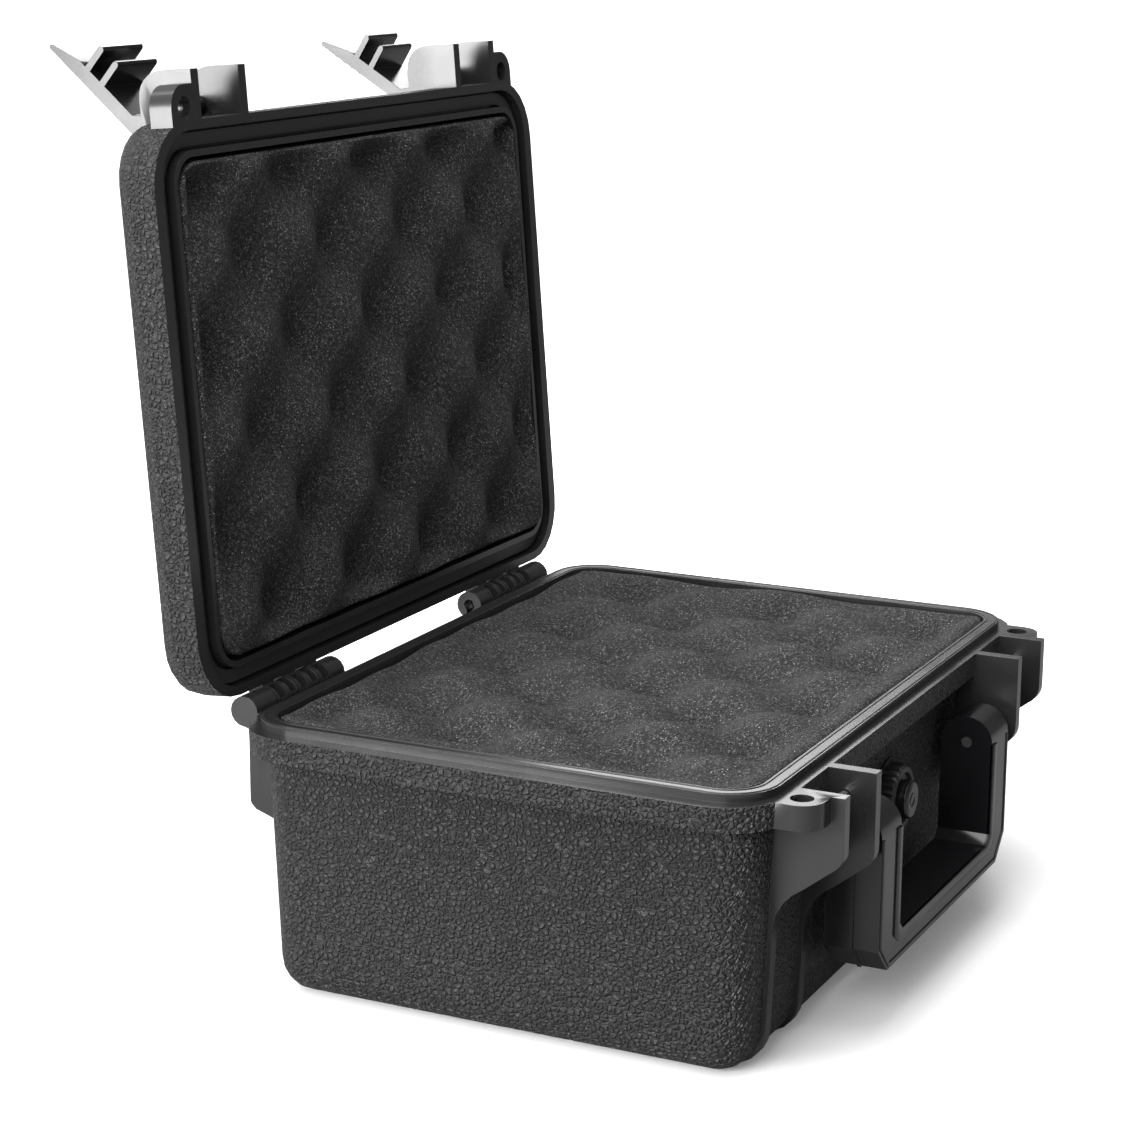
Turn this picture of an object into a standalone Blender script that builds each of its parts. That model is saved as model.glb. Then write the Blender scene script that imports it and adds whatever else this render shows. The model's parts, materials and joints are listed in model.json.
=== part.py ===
"""Small hinged equipment case, open: drafted base and lid shells, two over-centre latches, a swinging
carry handle, a pressure valve and convoluted foam. Metres, +Z up, front towards -Y, hinge at +Y.
The origin is the centre of the base's underside."""

import math

import bmesh
import bpy
import numpy as np
from mathutils import Matrix, Vector

# Overall sizes
CASE_WIDTH = 0.240
CASE_DEPTH = 0.1724
BASE_HEIGHT = 0.0842
LID_HEIGHT = 0.0203
OPEN_ANGLE = math.radians(94.65)

# Shell sections
FLANGE_HEIGHT = 0.0076
FLANGE_STEP = 0.006
DRAFT = math.tan(math.radians(2.5))
CORNER_RADIUS = 0.020
BOTTOM_RADIUS = 0.011
WALL = 0.0036
FLOOR = 0.0032
TONGUE_SIDE_INSET = 0.005
TONGUE_FRONT_INSET = 0.0032
TONGUE_WIDTH = 0.005
TONGUE_HEIGHT = 0.0024
SEAL_GAP = 0.0004
GROOVE_CLEARANCE = 0.0004
GROOVE_DEPTH = 0.005
GASKET_HEIGHT = 0.0022
LID_LIP = 0.002
LID_BAND = 0.009
LID_SIDE_SLOPE = 0.0205
LID_FRONT_ROUND = 0.0062
LID_TOP = 0.003
LID_SIDE_POWER = 1.6
LID_FRONT_POWER = 2.2
LID_INSIDE_SHARE = 0.6
LID_INSIDE_FRONT = 0.002
ARC_STEPS = 6

# Clearances
GAP = 0.0003
PIN_CLEARANCE = 0.0003
BLIND = 0.0028
PIN_SHORT = 0.0003
FOAM_GAP = 0.0005

# Latch brackets, ribs and ears
PLATE = 0.004
OUTER_PLATE_X = 0.0961
LATCH_SPACE = 0.0217
PLATE_REACH = 0.0146
OUTER_PLATE_FRONT = 0.0172
INNER_PLATE_FRONT = 0.0245
PLATE_SLOPE = math.tan(math.radians(29.5))
PLATE_CORNER = 0.0065
PLATE_ROOT = 0.006
PLATE_CORNER_RISE = 0.001
PLATE_CORNER_SHARE = 0.7
RIB_FILLET = 0.0075
RIB_UNDER_REACH = 0.024
RIB_UNDER_FLAT = 0.0165
RIB_UNDER_LOW = 0.001
RIB_UNDER_HIGH = 0.002
LID_PLATE_ROOT = 0.0015
LID_PLATE_HEIGHT = 0.0191
LID_PLATE_CORNER = 0.008
RIB_PROUD = 0.0016
EAR_REACH = 0.0046
EAR_RADIUS = 0.0069
EAR_HOLE_RADIUS = 0.0034
EAR_FORWARD = 0.0036

# Hinges
HINGE_OUTER_X = 0.0995
KNUCKLE_RADIUS = 0.0048
KNUCKLE_WALL_GAP = 0.0006
KNUCKLE_ROOT = 0.001
HINGE_PIN_RADIUS = 0.0017
KNUCKLE_GAP = 0.0004
HINGE_LENGTHS = (0.0118, 0.0064, 0.0056, 0.0064, 0.0056, 0.0064, 0.0079)
HINGE_END_WALL = 0.0025
HINGE_PIN_RECESS = 0.0055
WINDOW_WIDTH = 0.0054
WINDOW_MARGIN = 0.0012
KNUCKLE_WEB = 0.0066
SLOT_HALF_WIDTH = 0.0009
SLOT_DEPTH_SHARE = 0.6
HINGE_RIB_REACH = 0.0100
HINGE_RIB_TOP = 0.002
HINGE_RIB_ROOT = 0.008
HINGE_RIB_DROP = 0.0276
HINGE_RIB_FOOT = 0.0061
HINGE_RIB_ROUND = 0.003

# Latches
LATCH_PIVOT_OUT = 0.0031
LATCH_PIVOT_UP = 0.0153
LATCH_SIDE_GAP = 0.0005
LATCH_LENGTH = 0.0411
LATCH_TAPER = 0.0110
LATCH_OUTER = 0.0123
LATCH_INNER = 0.0079
LATCH_HUB = 0.0029
LATCH_PIN_RADIUS = 0.0015
HOOK_TIP = 0.0008
HOOK_THICKNESS = 0.0022
HOOK_NEAR = 0.0188
HOOK_FAR = 0.0254
STRIKE_DROP = 0.0231
STRIKE_OUT = 0.0020
STRIKE_RADIUS = 0.0016
LATCH_OPEN = {"left": math.radians(135.0), "right": math.radians(144.0)}

# Handle
HANDLE_OUTER_X = 0.061
HANDLE_ARM = 0.017
HANDLE_DEPTH = 0.0172
HANDLE_BAR = 0.0092
HANDLE_CHAMFER = 0.008
HANDLE_WINDOW_CHAMFER = 0.003
HANDLE_DROP = 0.0234
HANDLE_LENGTH = 0.0423
HANDLE_PIVOT_OUT = 0.0051
HANDLE_PIN_RADIUS = 0.0018

# Pressure valve
VALVE_DROP = 0.0304
VALVE_BOSS_RADIUS = 0.0125
VALVE_BOSS_FACE = 0.0056
VALVE_BORE = 0.008
VALVE_STEM_INSIDE = 0.0135
VALVE_TEETH = 26
KNOB_RADIUS = 0.011
KNOB_TOOTH = 0.0009
KNOB_CHAMFER = 0.0006
KNOB_INSET = 0.0007
KNOB_RIM = 0.0012
KNOB_DISH_RADIUS = 0.0082
KNOB_DISH_FOOT = 0.0078
KNOB_DISH_DEPTH = 0.0012
KNOB_BORE = 0.0042
BUTTON_RADIUS = 0.0061
BUTTON_HEIGHT = 0.0030
BUTTON_MARK_RADIUS = 0.0020
BUTTON_STEM = 0.0016
VENT_BORE = 0.0045
MEMBRANE_DEPTH = 0.0015
MEMBRANE_THICKNESS = 0.0006
NUT_RADIUS = 0.011
NUT_WALL_GAP = 0.0012
O_RING_MAJOR = 0.0094
O_RING_MINOR = 0.0008
O_RING_SHARE = 0.7
O_RING_STEPS = 10

# Foam
FOAM_SPLIT_Z = 0.0385
FOAM_TOP_DROP = 0.0006
VALVE_POCKET = 0.0005

# Values that follow
HALF_X = CASE_WIDTH / 2
HALF_Y = CASE_DEPTH / 2
FLANGE_Z = BASE_HEIGHT - FLANGE_HEIGHT
LID_Z = BASE_HEIGHT + SEAL_GAP
LID_TOP_Z = BASE_HEIGHT + LID_HEIGHT
HINGE_OFFSET = KNUCKLE_RADIUS + KNUCKLE_WALL_GAP
HINGE_Y = HALF_Y + HINGE_OFFSET
GROOVE_SIDE = TONGUE_SIDE_INSET - GROOVE_CLEARANCE
GROOVE_FRONT = TONGUE_FRONT_INSET - GROOVE_CLEARANCE
INNER_PLATE_X = OUTER_PLATE_X - PLATE - LATCH_SPACE
LATCH_WIDTH = LATCH_SPACE - 2 * LATCH_SIDE_GAP
LATCH_X = OUTER_PLATE_X - PLATE - LATCH_SPACE / 2
LATCH_Y = -(HALF_Y + LATCH_PIVOT_OUT)
LATCH_Z = BASE_HEIGHT + LATCH_PIVOT_UP
HANDLE_Y = -(HALF_Y + HANDLE_PIVOT_OUT)
HANDLE_PIVOT_Z = BASE_HEIGHT - HANDLE_DROP
HANDLE_BOTTOM_Z = HANDLE_PIVOT_Z - HANDLE_LENGTH
VALVE_Z = BASE_HEIGHT - VALVE_DROP
SIDES = {"left": -1.0, "right": 1.0}

BLACK = (0.018, 0.018, 0.020, 1.0)
DARK = (0.012, 0.012, 0.013, 1.0)
STEEL = (0.55, 0.55, 0.56, 1.0)
FOAM_GREY = (0.020, 0.020, 0.022, 1.0)
RUBBER = (0.010, 0.010, 0.010, 1.0)


# ---------------------------------------------------------------- scene and helpers


def clear_scene():
    for item in list(bpy.data.objects):
        bpy.data.objects.remove(item)


def new_collection(name):
    made = bpy.data.collections.new(name)
    bpy.context.scene.collection.children.link(made)
    return made


def material(name, colour, roughness, metallic=0.0):
    made = bpy.data.materials.new(name)
    made.use_nodes = True
    shader = made.node_tree.nodes["Principled BSDF"]
    shader.inputs["Base Color"].default_value = colour
    shader.inputs["Roughness"].default_value = roughness
    shader.inputs["Metallic"].default_value = metallic
    return made


def mesh_object(name, mesh, collection):
    made = bpy.data.objects.new(name, mesh)
    collection.objects.link(made)
    if collection == CUTTERS:
        made.hide_render = True
        made.display_type = "WIRE"
    return made


def bmesh_object(name, form, collection):
    bmesh.ops.recalc_face_normals(form, faces=form.faces)
    mesh = bpy.data.meshes.new(name)
    form.to_mesh(mesh)
    form.free()
    return mesh_object(name, mesh, collection)


def rounded_rectangle(half_x, half_y, radius):
    """Points of a rectangle with round corners, anticlockwise, ARC_STEPS + 1 to a corner."""
    points = []
    for sx, sy, start in ((1, 1, 0), (-1, 1, 90), (-1, -1, 180), (1, -1, 270)):
        for step in range(ARC_STEPS + 1):
            angle = math.radians(start + 90 * step / ARC_STEPS)
            x = sx * (half_x - radius) + radius * math.cos(angle)
            y = sy * (half_y - radius) + radius * math.sin(angle)
            points.append((x, y))
    return points


def loft(name, rings, collection, capped=True):
    """A body through rings of as many points each; the first and last are capped, or join."""
    form = bmesh.new()
    rows = [[form.verts.new(p) for p in ring] for ring in rings]
    count = len(rows[0])
    pairs = list(zip(rows, rows[1:]))
    if not capped:
        pairs.append((rows[-1], rows[0]))
    for low, high in pairs:
        for i in range(count):
            k = (i + 1) % count
            form.faces.new((low[i], low[k], high[k], high[i]))
    if capped:
        form.faces.new(rows[0])
        form.faces.new(rows[-1])
    return bmesh_object(name, form, collection)


def ring_at(z, half_x, half_y, radius):
    return [(x, y, z) for x, y in rounded_rectangle(half_x, half_y, radius)]


def arc(centre, radius, start, end, steps):
    """Points on an arc, from start to end degrees."""
    angles = [math.radians(start + (end - start) * i / steps) for i in range(steps + 1)]
    return [(centre[0] + radius * math.cos(a), centre[1] + radius * math.sin(a)) for a in angles]


def bend(start, middle, end, steps):
    """Points on a quadratic curve from start to end, pulled towards middle."""
    points = []
    for i in range(steps + 1):
        t = i / steps
        a, b, c = (1 - t) ** 2, 2 * t * (1 - t), t * t
        points.append(tuple(a * p + b * q + c * r for p, q, r in zip(start, middle, end)))
    return points


def circle(centre, radius, steps=16):
    return arc(centre, radius, 0, 360, steps)[:-1]


def outline(name, loops, low, high, plane, collection):
    """A flat 2D outline with holes, solid from low to high. plane gives its two axes, such as YZ."""
    curve = bpy.data.curves.new(name, "CURVE")
    curve.dimensions = "2D"
    curve.fill_mode = "BOTH"
    curve.extrude = (high - low) / 2
    for loop in loops:
        spline = curve.splines.new("POLY")
        spline.points.add(len(loop) - 1)
        for point, (u, v) in zip(spline.points, loop):
            point.co = (u, v, 0, 1)
        spline.use_cyclic_u = True
    drawn = mesh_object(name + "_outline", curve, collection)
    middle = (low + high) / 2
    if plane == "YZ":
        turn = Matrix(((0, 0, 1), (1, 0, 0), (0, 1, 0))).to_4x4()
        drawn.matrix_world = Matrix.Translation((middle, 0, 0)) @ turn
    elif plane == "XZ":
        turn = Matrix(((1, 0, 0), (0, 0, -1), (0, 1, 0))).to_4x4()
        drawn.matrix_world = Matrix.Translation((0, middle, 0)) @ turn
    else:
        drawn.matrix_world = Matrix.Translation((0, 0, middle))
    bpy.context.view_layer.update()
    seen = drawn.evaluated_get(bpy.context.evaluated_depsgraph_get())
    mesh = bpy.data.meshes.new_from_object(seen)
    mesh.transform(drawn.matrix_world)
    bpy.data.objects.remove(drawn)
    form = bmesh.new()
    form.from_mesh(mesh)
    bmesh.ops.remove_doubles(form, verts=form.verts, dist=0.000001)
    return bmesh_object(name, form, collection)


def box(name, low, high, collection):
    form = bmesh.new()
    bmesh.ops.create_cube(form, size=1.0)
    size = Vector(high) - Vector(low)
    middle = (Vector(high) + Vector(low)) / 2
    bmesh.ops.scale(form, vec=size, verts=form.verts)
    bmesh.ops.translate(form, vec=middle, verts=form.verts)
    return bmesh_object(name, form, collection)


def rod(name, radius, low, high, centre, axis, collection, steps=16):
    """A cylinder along X or Y, from low to high, with its axis through centre."""
    form = bmesh.new()
    bmesh.ops.create_cone(
        form, cap_ends=True, segments=steps, radius1=radius, radius2=radius, depth=high - low
    )
    middle = (low + high) / 2
    if axis == "X":
        turn = Matrix.Rotation(math.radians(90), 4, "Y")
        place = Matrix.Translation((middle, centre[0], centre[1]))
    else:
        turn = Matrix.Rotation(math.radians(90), 4, "X")
        place = Matrix.Translation((centre[0], middle, centre[1]))
    form.transform(place @ turn)
    return bmesh_object(name, form, collection)


def turned(name, profile, y_at, z_at, collection, steps=24):
    """A closed profile of (radius, outwards) turned about the -Y line at height z_at."""
    mesh = bpy.data.meshes.new(name)
    edges = [(i, (i + 1) % len(profile)) for i in range(len(profile))]
    if profile[0][0] == 0 and profile[-1][0] == 0:
        edges.pop()
    mesh.from_pydata([(r, 0, h) for r, h in profile], edges, [])
    made = mesh_object(name, mesh, collection)
    screw = made.modifiers.new("Turn", "SCREW")
    screw.angle = math.radians(360)
    screw.steps = steps
    screw.render_steps = steps
    screw.use_merge_vertices = True
    screw.merge_threshold = 0.00001
    screw.use_normal_calculate = True
    bake(made)
    made.data.transform(Matrix.Translation((0, y_at, z_at)) @ Matrix.Rotation(math.radians(90), 4, "X"))
    form = bmesh.new()
    form.from_mesh(made.data)
    bmesh.ops.recalc_face_normals(form, faces=form.faces)
    form.to_mesh(made.data)
    form.free()
    return made


def bake(made):
    """Applies an object's modifiers to its mesh."""
    bpy.context.view_layer.update()
    seen = made.evaluated_get(bpy.context.evaluated_depsgraph_get())
    mesh = bpy.data.meshes.new_from_object(seen)
    made.modifiers.clear()
    made.data = mesh


def combine(made, pieces, operation):
    """Joins pieces to an object, or cuts them from it, one exact Boolean each."""
    for piece in pieces:
        step = made.modifiers.new(operation.title(), "BOOLEAN")
        step.operation = operation
        step.solver = "EXACT"
        step.object = piece
    bake(made)


def dress(made, finish):
    """Gives an object its own copy of a finish and smooth shading on its round faces."""
    own = finish.copy()
    own.name = made.name + "_" + finish.name
    made.data.materials.clear()
    made.data.materials.append(own)
    made.data.shade_smooth()
    made.data.set_sharp_from_angle(angle=math.radians(35))


def pivot(name, place, angle, collection, parent=None):
    """An empty on a joint's axis, turned about X from the closed pose."""
    made = mesh_object(name, None, collection)
    made.empty_display_size = 0.01
    turn = Matrix.Translation(place) @ Matrix.Rotation(angle, 4, "X")
    if parent is None:
        made.matrix_world = turn
    else:
        made.parent = parent
        made.matrix_parent_inverse = Matrix.Translation(-Vector(parent["closed_place"]))
        made.matrix_basis = turn
    made["closed_place"] = place
    return made


def hang(made, parent):
    """Hangs a piece modelled in the closed pose on a pivot."""
    made.parent = parent
    made.matrix_parent_inverse = Matrix.Translation(-Vector(parent["closed_place"]))


# ---------------------------------------------------------------- sizes of the sections


def wall_inset(z):
    """How far the base's outer wall stands inside the flange at a height."""
    return FLANGE_STEP + (FLANGE_Z - z) * DRAFT


def base_section():
    """Rings of the base shell: underside, outer wall, flange, tongue, inner wall and floor."""
    low = wall_inset(BOTTOM_RADIUS)
    rings = []
    for angle in (0, 18, 36, 54, 72, 90):
        turn = math.radians(angle)
        z = BOTTOM_RADIUS * (1 - math.cos(turn))
        inset = low + BOTTOM_RADIUS * (1 - math.sin(turn))
        rings.append((z, inset, inset))
    rings.append((FLANGE_Z, FLANGE_STEP, FLANGE_STEP))
    rings.append((FLANGE_Z, GAP, GAP))
    rings.append((BASE_HEIGHT, 0.0, 0.0))
    side, front = TONGUE_SIDE_INSET, TONGUE_FRONT_INSET
    rings.append((BASE_HEIGHT, side, front))
    rings.append((BASE_HEIGHT + TONGUE_HEIGHT, side, front))
    rings.append((BASE_HEIGHT + TONGUE_HEIGHT, side + TONGUE_WIDTH, front + TONGUE_WIDTH))
    for z in (FLANGE_Z, FLOOR + BOTTOM_RADIUS - WALL):
        inset = max(wall_inset(z) + WALL, front + TONGUE_WIDTH)
        rings.append((z, max(inset, side + TONGUE_WIDTH), inset))
    last = rings[-1]
    rings.append((FLOOR, last[1] + BOTTOM_RADIUS - WALL, last[2] + BOTTOM_RADIUS - WALL))
    return rings


def section_ring(z, side, front):
    radius = max(CORNER_RADIUS - (side + front) / 2, 0.004)
    return ring_at(z, HALF_X - side, HALF_Y - front, radius)


def rim_edge(x, side, front):
    """How far in from the case's front line a ring, set in by side and front, runs at a distance x."""
    radius = CORNER_RADIUS - (side + front) / 2
    over = max(0.0, x - (HALF_X - side - radius))
    return front + radius - math.sqrt(radius**2 - over**2)


def rim_middle(x):
    """How far in the middle of the rim outside the groove runs at a distance x."""
    return (rim_edge(x, 0.0, 0.0) + rim_edge(x, GROOVE_SIDE, GROOVE_FRONT)) / 2


def lid_section():
    """Rings of the lid shell in the closed pose: top, sloped shoulder, band, groove, lip and inside."""
    rings = []
    for share in (0.0, 0.25, 0.5, 0.75, 1.0):
        rise = 1 - share
        z = LID_Z + LID_BAND + (LID_TOP_Z - LID_Z - LID_BAND) * math.sin(math.radians(90 * rise))
        side = LID_SIDE_SLOPE * rise**LID_SIDE_POWER
        front = LID_FRONT_ROUND * rise**LID_FRONT_POWER
        rings.append((z, side, front))
    rings.append((LID_Z, 0.0, 0.0))
    side = GROOVE_SIDE
    front = GROOVE_FRONT
    width = TONGUE_WIDTH + 2 * GROOVE_CLEARANCE
    rings.append((LID_Z, side, front))
    rings.append((LID_Z + GROOVE_DEPTH, side, front))
    rings.append((LID_Z + GROOVE_DEPTH, side + width, front + width))
    rings.append((LID_Z, side + width, front + width))
    rings.append((LID_Z, side + width + LID_LIP, front + width + LID_LIP))
    lip_side = side + width + LID_LIP
    lip_front = front + width + LID_LIP
    for share in (0.0, 0.6, 1.0):
        z = LID_Z + LID_BAND + (LID_TOP_Z - LID_TOP - LID_Z - LID_BAND) * share
        grow = LID_INSIDE_SHARE * LID_SIDE_SLOPE * share**LID_SIDE_POWER
        rings.append((z, lip_side + grow, lip_front + LID_INSIDE_FRONT * share))
    return rings


# ---------------------------------------------------------------- outlines on the shells


def plate_outline(front_drop):
    """Side view of a base latch plate: level top, round lower front corner, sloping back to a rib."""
    front = -(HALF_Y + PLATE_REACH)
    wall_y = -(HALF_Y - wall_inset(FLANGE_Z) + RIB_PROUD)
    corner_z = BASE_HEIGHT - front_drop
    slope_end = corner_z - PLATE_CORNER * PLATE_CORNER_SHARE - (wall_y - front) * PLATE_SLOPE
    points = [(-(HALF_Y - PLATE_ROOT), BASE_HEIGHT), (front, BASE_HEIGHT)]
    centre = (front + PLATE_CORNER, corner_z + PLATE_CORNER_RISE)
    points += arc(centre, PLATE_CORNER, 180, 240, 5)
    foot_z = slope_end - RIB_FILLET
    foot = (-(HALF_Y - wall_inset(foot_z) + RIB_PROUD), foot_z)
    start = (wall_y - RIB_FILLET, slope_end + RIB_FILLET * PLATE_SLOPE)
    points += bend(start, (wall_y, slope_end), foot, 4)
    bottom_y = -(HALF_Y - wall_inset(BOTTOM_RADIUS) + RIB_PROUD)
    round_centre = (bottom_y + BOTTOM_RADIUS, BOTTOM_RADIUS)
    points += arc(round_centre, BOTTOM_RADIUS, 180, 250, 4)
    points.append((-(HALF_Y - RIB_UNDER_REACH), RIB_UNDER_LOW))
    points.append((-(HALF_Y - RIB_UNDER_REACH), RIB_UNDER_HIGH))
    points.append((-(HALF_Y - RIB_UNDER_FLAT), RIB_UNDER_HIGH))
    inner_y = -(HALF_Y - wall_inset(BOTTOM_RADIUS) - WALL / 2)
    points.append((inner_y, BOTTOM_RADIUS))
    return points


def lid_plate_outline():
    """Side view of a lid latch plate in the closed pose, with a round upper front corner."""
    front = -(HALF_Y + PLATE_REACH)
    top = BASE_HEIGHT + LID_PLATE_HEIGHT
    root = -(HALF_Y - LID_PLATE_ROOT)
    points = [(root, top), (root, LID_Z)]
    points.append((front, LID_Z))
    centre = (front + LID_PLATE_CORNER, top - LID_PLATE_CORNER)
    points += arc(centre, LID_PLATE_CORNER, 180, 90, 6)
    return points


def ear_outline(side):
    """Plan of a padlock ear beside the outer plate, straight back to the flange."""
    centre = (side * (OUTER_PLATE_X + EAR_REACH), -(HALF_Y + EAR_FORWARD))
    far = arc(centre, EAR_RADIUS, 0, -90, 5)
    plate_x = OUTER_PLATE_X - GAP / 2
    far_x = abs(centre[0]) + EAR_RADIUS
    points = [(far_x, -(HALF_Y - rim_middle(far_x)))]
    points += [(abs(centre[0]) + (x - centre[0]), y) for x, y in far]
    points += [(plate_x, centre[1] - EAR_RADIUS), (plate_x, -(HALF_Y - rim_middle(plate_x)))]
    points = [(side * x, y) for x, y in points]
    return points, circle(centre, EAR_HOLE_RADIUS)


def knuckle_outline(upward):
    """Side view of a hinge knuckle with its web to the flange, below or above the parting plane."""
    flange_y = HALF_Y - KNUCKLE_ROOT
    sign = 1.0 if upward else -1.0
    level = BASE_HEIGHT + (SEAL_GAP if upward else 0.0)
    points = [(flange_y, level), (HINGE_Y - KNUCKLE_RADIUS, level)]
    points += arc((HINGE_Y, BASE_HEIGHT), KNUCKLE_RADIUS, -157.5 * sign, 90 * sign, 11)
    points.append((flange_y, BASE_HEIGHT + sign * KNUCKLE_WEB))
    return points


def hinge_spans():
    """Distances from the middle of the case of each knuckle's two ends, outermost first."""
    spans = []
    at = HINGE_OUTER_X
    for length in HINGE_LENGTHS:
        spans.append((at - length, at))
        at -= length + KNUCKLE_GAP
    return spans


# ---------------------------------------------------------------- base


def base_plates(side):
    """The two latch plates and the padlock ear on one side."""
    name = "left" if side < 0 else "right"
    spans = sorted((side * OUTER_PLATE_X, side * (OUTER_PLATE_X - PLATE)))
    outer = outline("outer_plate_" + name, [plate_outline(OUTER_PLATE_FRONT)], *spans, "YZ", CUTTERS)
    spans = sorted((side * INNER_PLATE_X, side * (INNER_PLATE_X - PLATE)))
    inner = outline("inner_plate_" + name, [plate_outline(INNER_PLATE_FRONT)], *spans, "YZ", CUTTERS)
    loops = ear_outline(side)
    ear = outline("ear_" + name, loops, FLANGE_Z, BASE_HEIGHT, "XY", CUTTERS)
    return [outer, inner, ear]


def pin_ends(side, depth):
    """The two ends, lowest X first, of a pin or bore that stands this deep in both latch plates."""
    outer = OUTER_PLATE_X - PLATE + depth
    inner = INNER_PLATE_X - depth
    return sorted((side * outer, side * inner))


def strike_centre():
    return (LATCH_Y - STRIKE_OUT, LATCH_Z - STRIKE_DROP)


def base_pin_bores(name, side):
    """Blind bores for the strike pin and the handle pin on one side."""
    strike = rod("strike_bore_" + name, STRIKE_RADIUS + PIN_CLEARANCE, *pin_ends(side, BLIND),
                 strike_centre(), "X", CUTTERS, 12)
    start = INNER_PLATE_X - PLATE
    ends = sorted((side * (start - 0.001), side * (start + BLIND)))
    handle = rod("pivot_bore_" + name, HANDLE_PIN_RADIUS + PIN_CLEARANCE, *ends,
                 (HANDLE_Y, HANDLE_PIVOT_Z), "X", CUTTERS, 12)
    return [strike, handle]


def hinge_rib_outline():
    """Side view of the rib that carries a hinge knuckle down the rear wall."""
    reach = HALF_Y - wall_inset(FLANGE_Z) + HINGE_RIB_REACH
    top = BASE_HEIGHT - HINGE_RIB_TOP
    low = BASE_HEIGHT - HINGE_RIB_DROP
    foot = low - HINGE_RIB_FOOT
    points = [(HALF_Y - wall_inset(foot) - WALL / 2, foot + HINGE_RIB_ROUND)]
    points.append((HALF_Y - wall_inset(foot), foot))
    points.append((reach - HINGE_RIB_ROUND * 2 / 3, low - HINGE_RIB_ROUND))
    points += arc((reach - HINGE_RIB_ROUND, low), HINGE_RIB_ROUND, -30, 0, 2)
    points.append((reach, top))
    points.append((HALF_Y - HINGE_RIB_ROOT, top))
    return points


def base_hinges(side):
    """The base's three knuckles of one hinge and the two ribs under its ends."""
    name = "left" if side < 0 else "right"
    made = []
    spans = hinge_spans()
    for index in range(0, len(spans), 2):
        low, high = spans[index]
        span = sorted((side * low, side * high))
        label = f"base_knuckle_{name}_{index}"
        made.append(outline(label, [knuckle_outline(False)], *span, "YZ", CUTTERS))
    for low in (HINGE_OUTER_X - PLATE - GAP, spans[-1][0] + GAP):
        span = sorted((side * low, side * (low + PLATE)))
        label = f"hinge_rib_{name}_{round(low * 1000)}"
        made.append(outline(label, [hinge_rib_outline()], *span, "YZ", CUTTERS))
    return made


def hinge_bore(name, side, outer):
    """The bore through the knuckles of one hinge, from inside its inner end out to a distance."""
    ends = sorted((side * (hinge_spans()[-1][0] - 0.002), side * outer))
    radius = HINGE_PIN_RADIUS + PIN_CLEARANCE
    return rod(name, radius, *ends, (HINGE_Y, BASE_HEIGHT), "X", CUTTERS, 12)


def hinge_windows(side, upward):
    """Boxes that open the knuckles onto the pin, from above on the base and below on the lid."""
    made = []
    spans = hinge_spans()
    name = ("lid_" if upward else "base_") + ("left" if side < 0 else "right")
    for index in range(1 if upward else 2, len(spans) - 1, 2):
        low, high = spans[index]
        start = low + WINDOW_MARGIN
        width = min(WINDOW_WIDTH, high - low - 2 * WINDOW_MARGIN)
        span = sorted((side * start, side * (start + width)))
        reach = KNUCKLE_RADIUS + 0.001
        if upward:
            corners = (-reach, -0.0004), (-reach, -0.0004)
        else:
            corners = (-reach, 0.0010), (0.0012, reach)
        low_y, high_y = HINGE_Y + corners[0][0], HINGE_Y + corners[0][1]
        low_z, high_z = BASE_HEIGHT + corners[1][0], BASE_HEIGHT + corners[1][1]
        label = f"window_{name}_{index}"
        made.append(box(label, (span[0], low_y, low_z), (span[1], high_y, high_z), CUTTERS))
    return made


def hinge_slot(side):
    """The slot that opens the inmost knuckle's bore downwards."""
    low = hinge_spans()[-1][0]
    span = sorted((side * (low - 0.001), side * (low + HINGE_PIN_RECESS - 0.001)))
    half = SLOT_HALF_WIDTH
    return box(
        "slot_left" if side < 0 else "slot_right",
        (span[0], HINGE_Y - half, BASE_HEIGHT - KNUCKLE_RADIUS - 0.001),
        (span[1], HINGE_Y + half, BASE_HEIGHT - HINGE_PIN_RADIUS * SLOT_DEPTH_SHARE),
        CUTTERS,
    )


def make_base_shell():
    rings = [section_ring(*row) for row in base_section()]
    shell = loft("base_shell", rings, PARTS)
    added = []
    for side in SIDES.values():
        added += base_hinges(side) + base_plates(side)
    boss_y = -(HALF_Y - VALVE_BOSS_FACE)
    inside_y = -(HALF_Y - wall_inset(VALVE_Z) - WALL / 2)
    added.append(rod("valve_boss", VALVE_BOSS_RADIUS, boss_y, inside_y, (0, VALVE_Z), "Y", CUTTERS, 28))
    combine(shell, added, "UNION")
    cuts = [rod("valve_bore", VALVE_BORE, boss_y - 0.002, -(HALF_Y - 0.016), (0, VALVE_Z), "Y", CUTTERS, 24)]
    for name, side in SIDES.items():
        cuts.append(hinge_bore("base_hinge_bore_" + name, side, HINGE_OUTER_X - HINGE_END_WALL))
        cuts += hinge_windows(side, False)
        cuts.append(hinge_slot(side))
        cuts += base_pin_bores(name, side)
    combine(shell, cuts, "DIFFERENCE")
    dress(shell, PLASTIC)


def make_hinge_pins():
    spans = hinge_spans()
    for name, side in SIDES.items():
        ends = (HINGE_OUTER_X - HINGE_END_WALL - GAP, spans[-1][0] + HINGE_PIN_RECESS)
        low, high = sorted((side * ends[0], side * ends[1]))
        made = rod("hinge_pin_" + name, HINGE_PIN_RADIUS, low, high, (HINGE_Y, BASE_HEIGHT), "X", PARTS)
        dress(made, METAL)


def make_strike_pins():
    for name, side in SIDES.items():
        ends = pin_ends(side, BLIND - PIN_SHORT)
        dress(rod("strike_pin_" + name, STRIKE_RADIUS, *ends, strike_centre(), "X", PARTS), METAL)


# ---------------------------------------------------------------- lid


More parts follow.
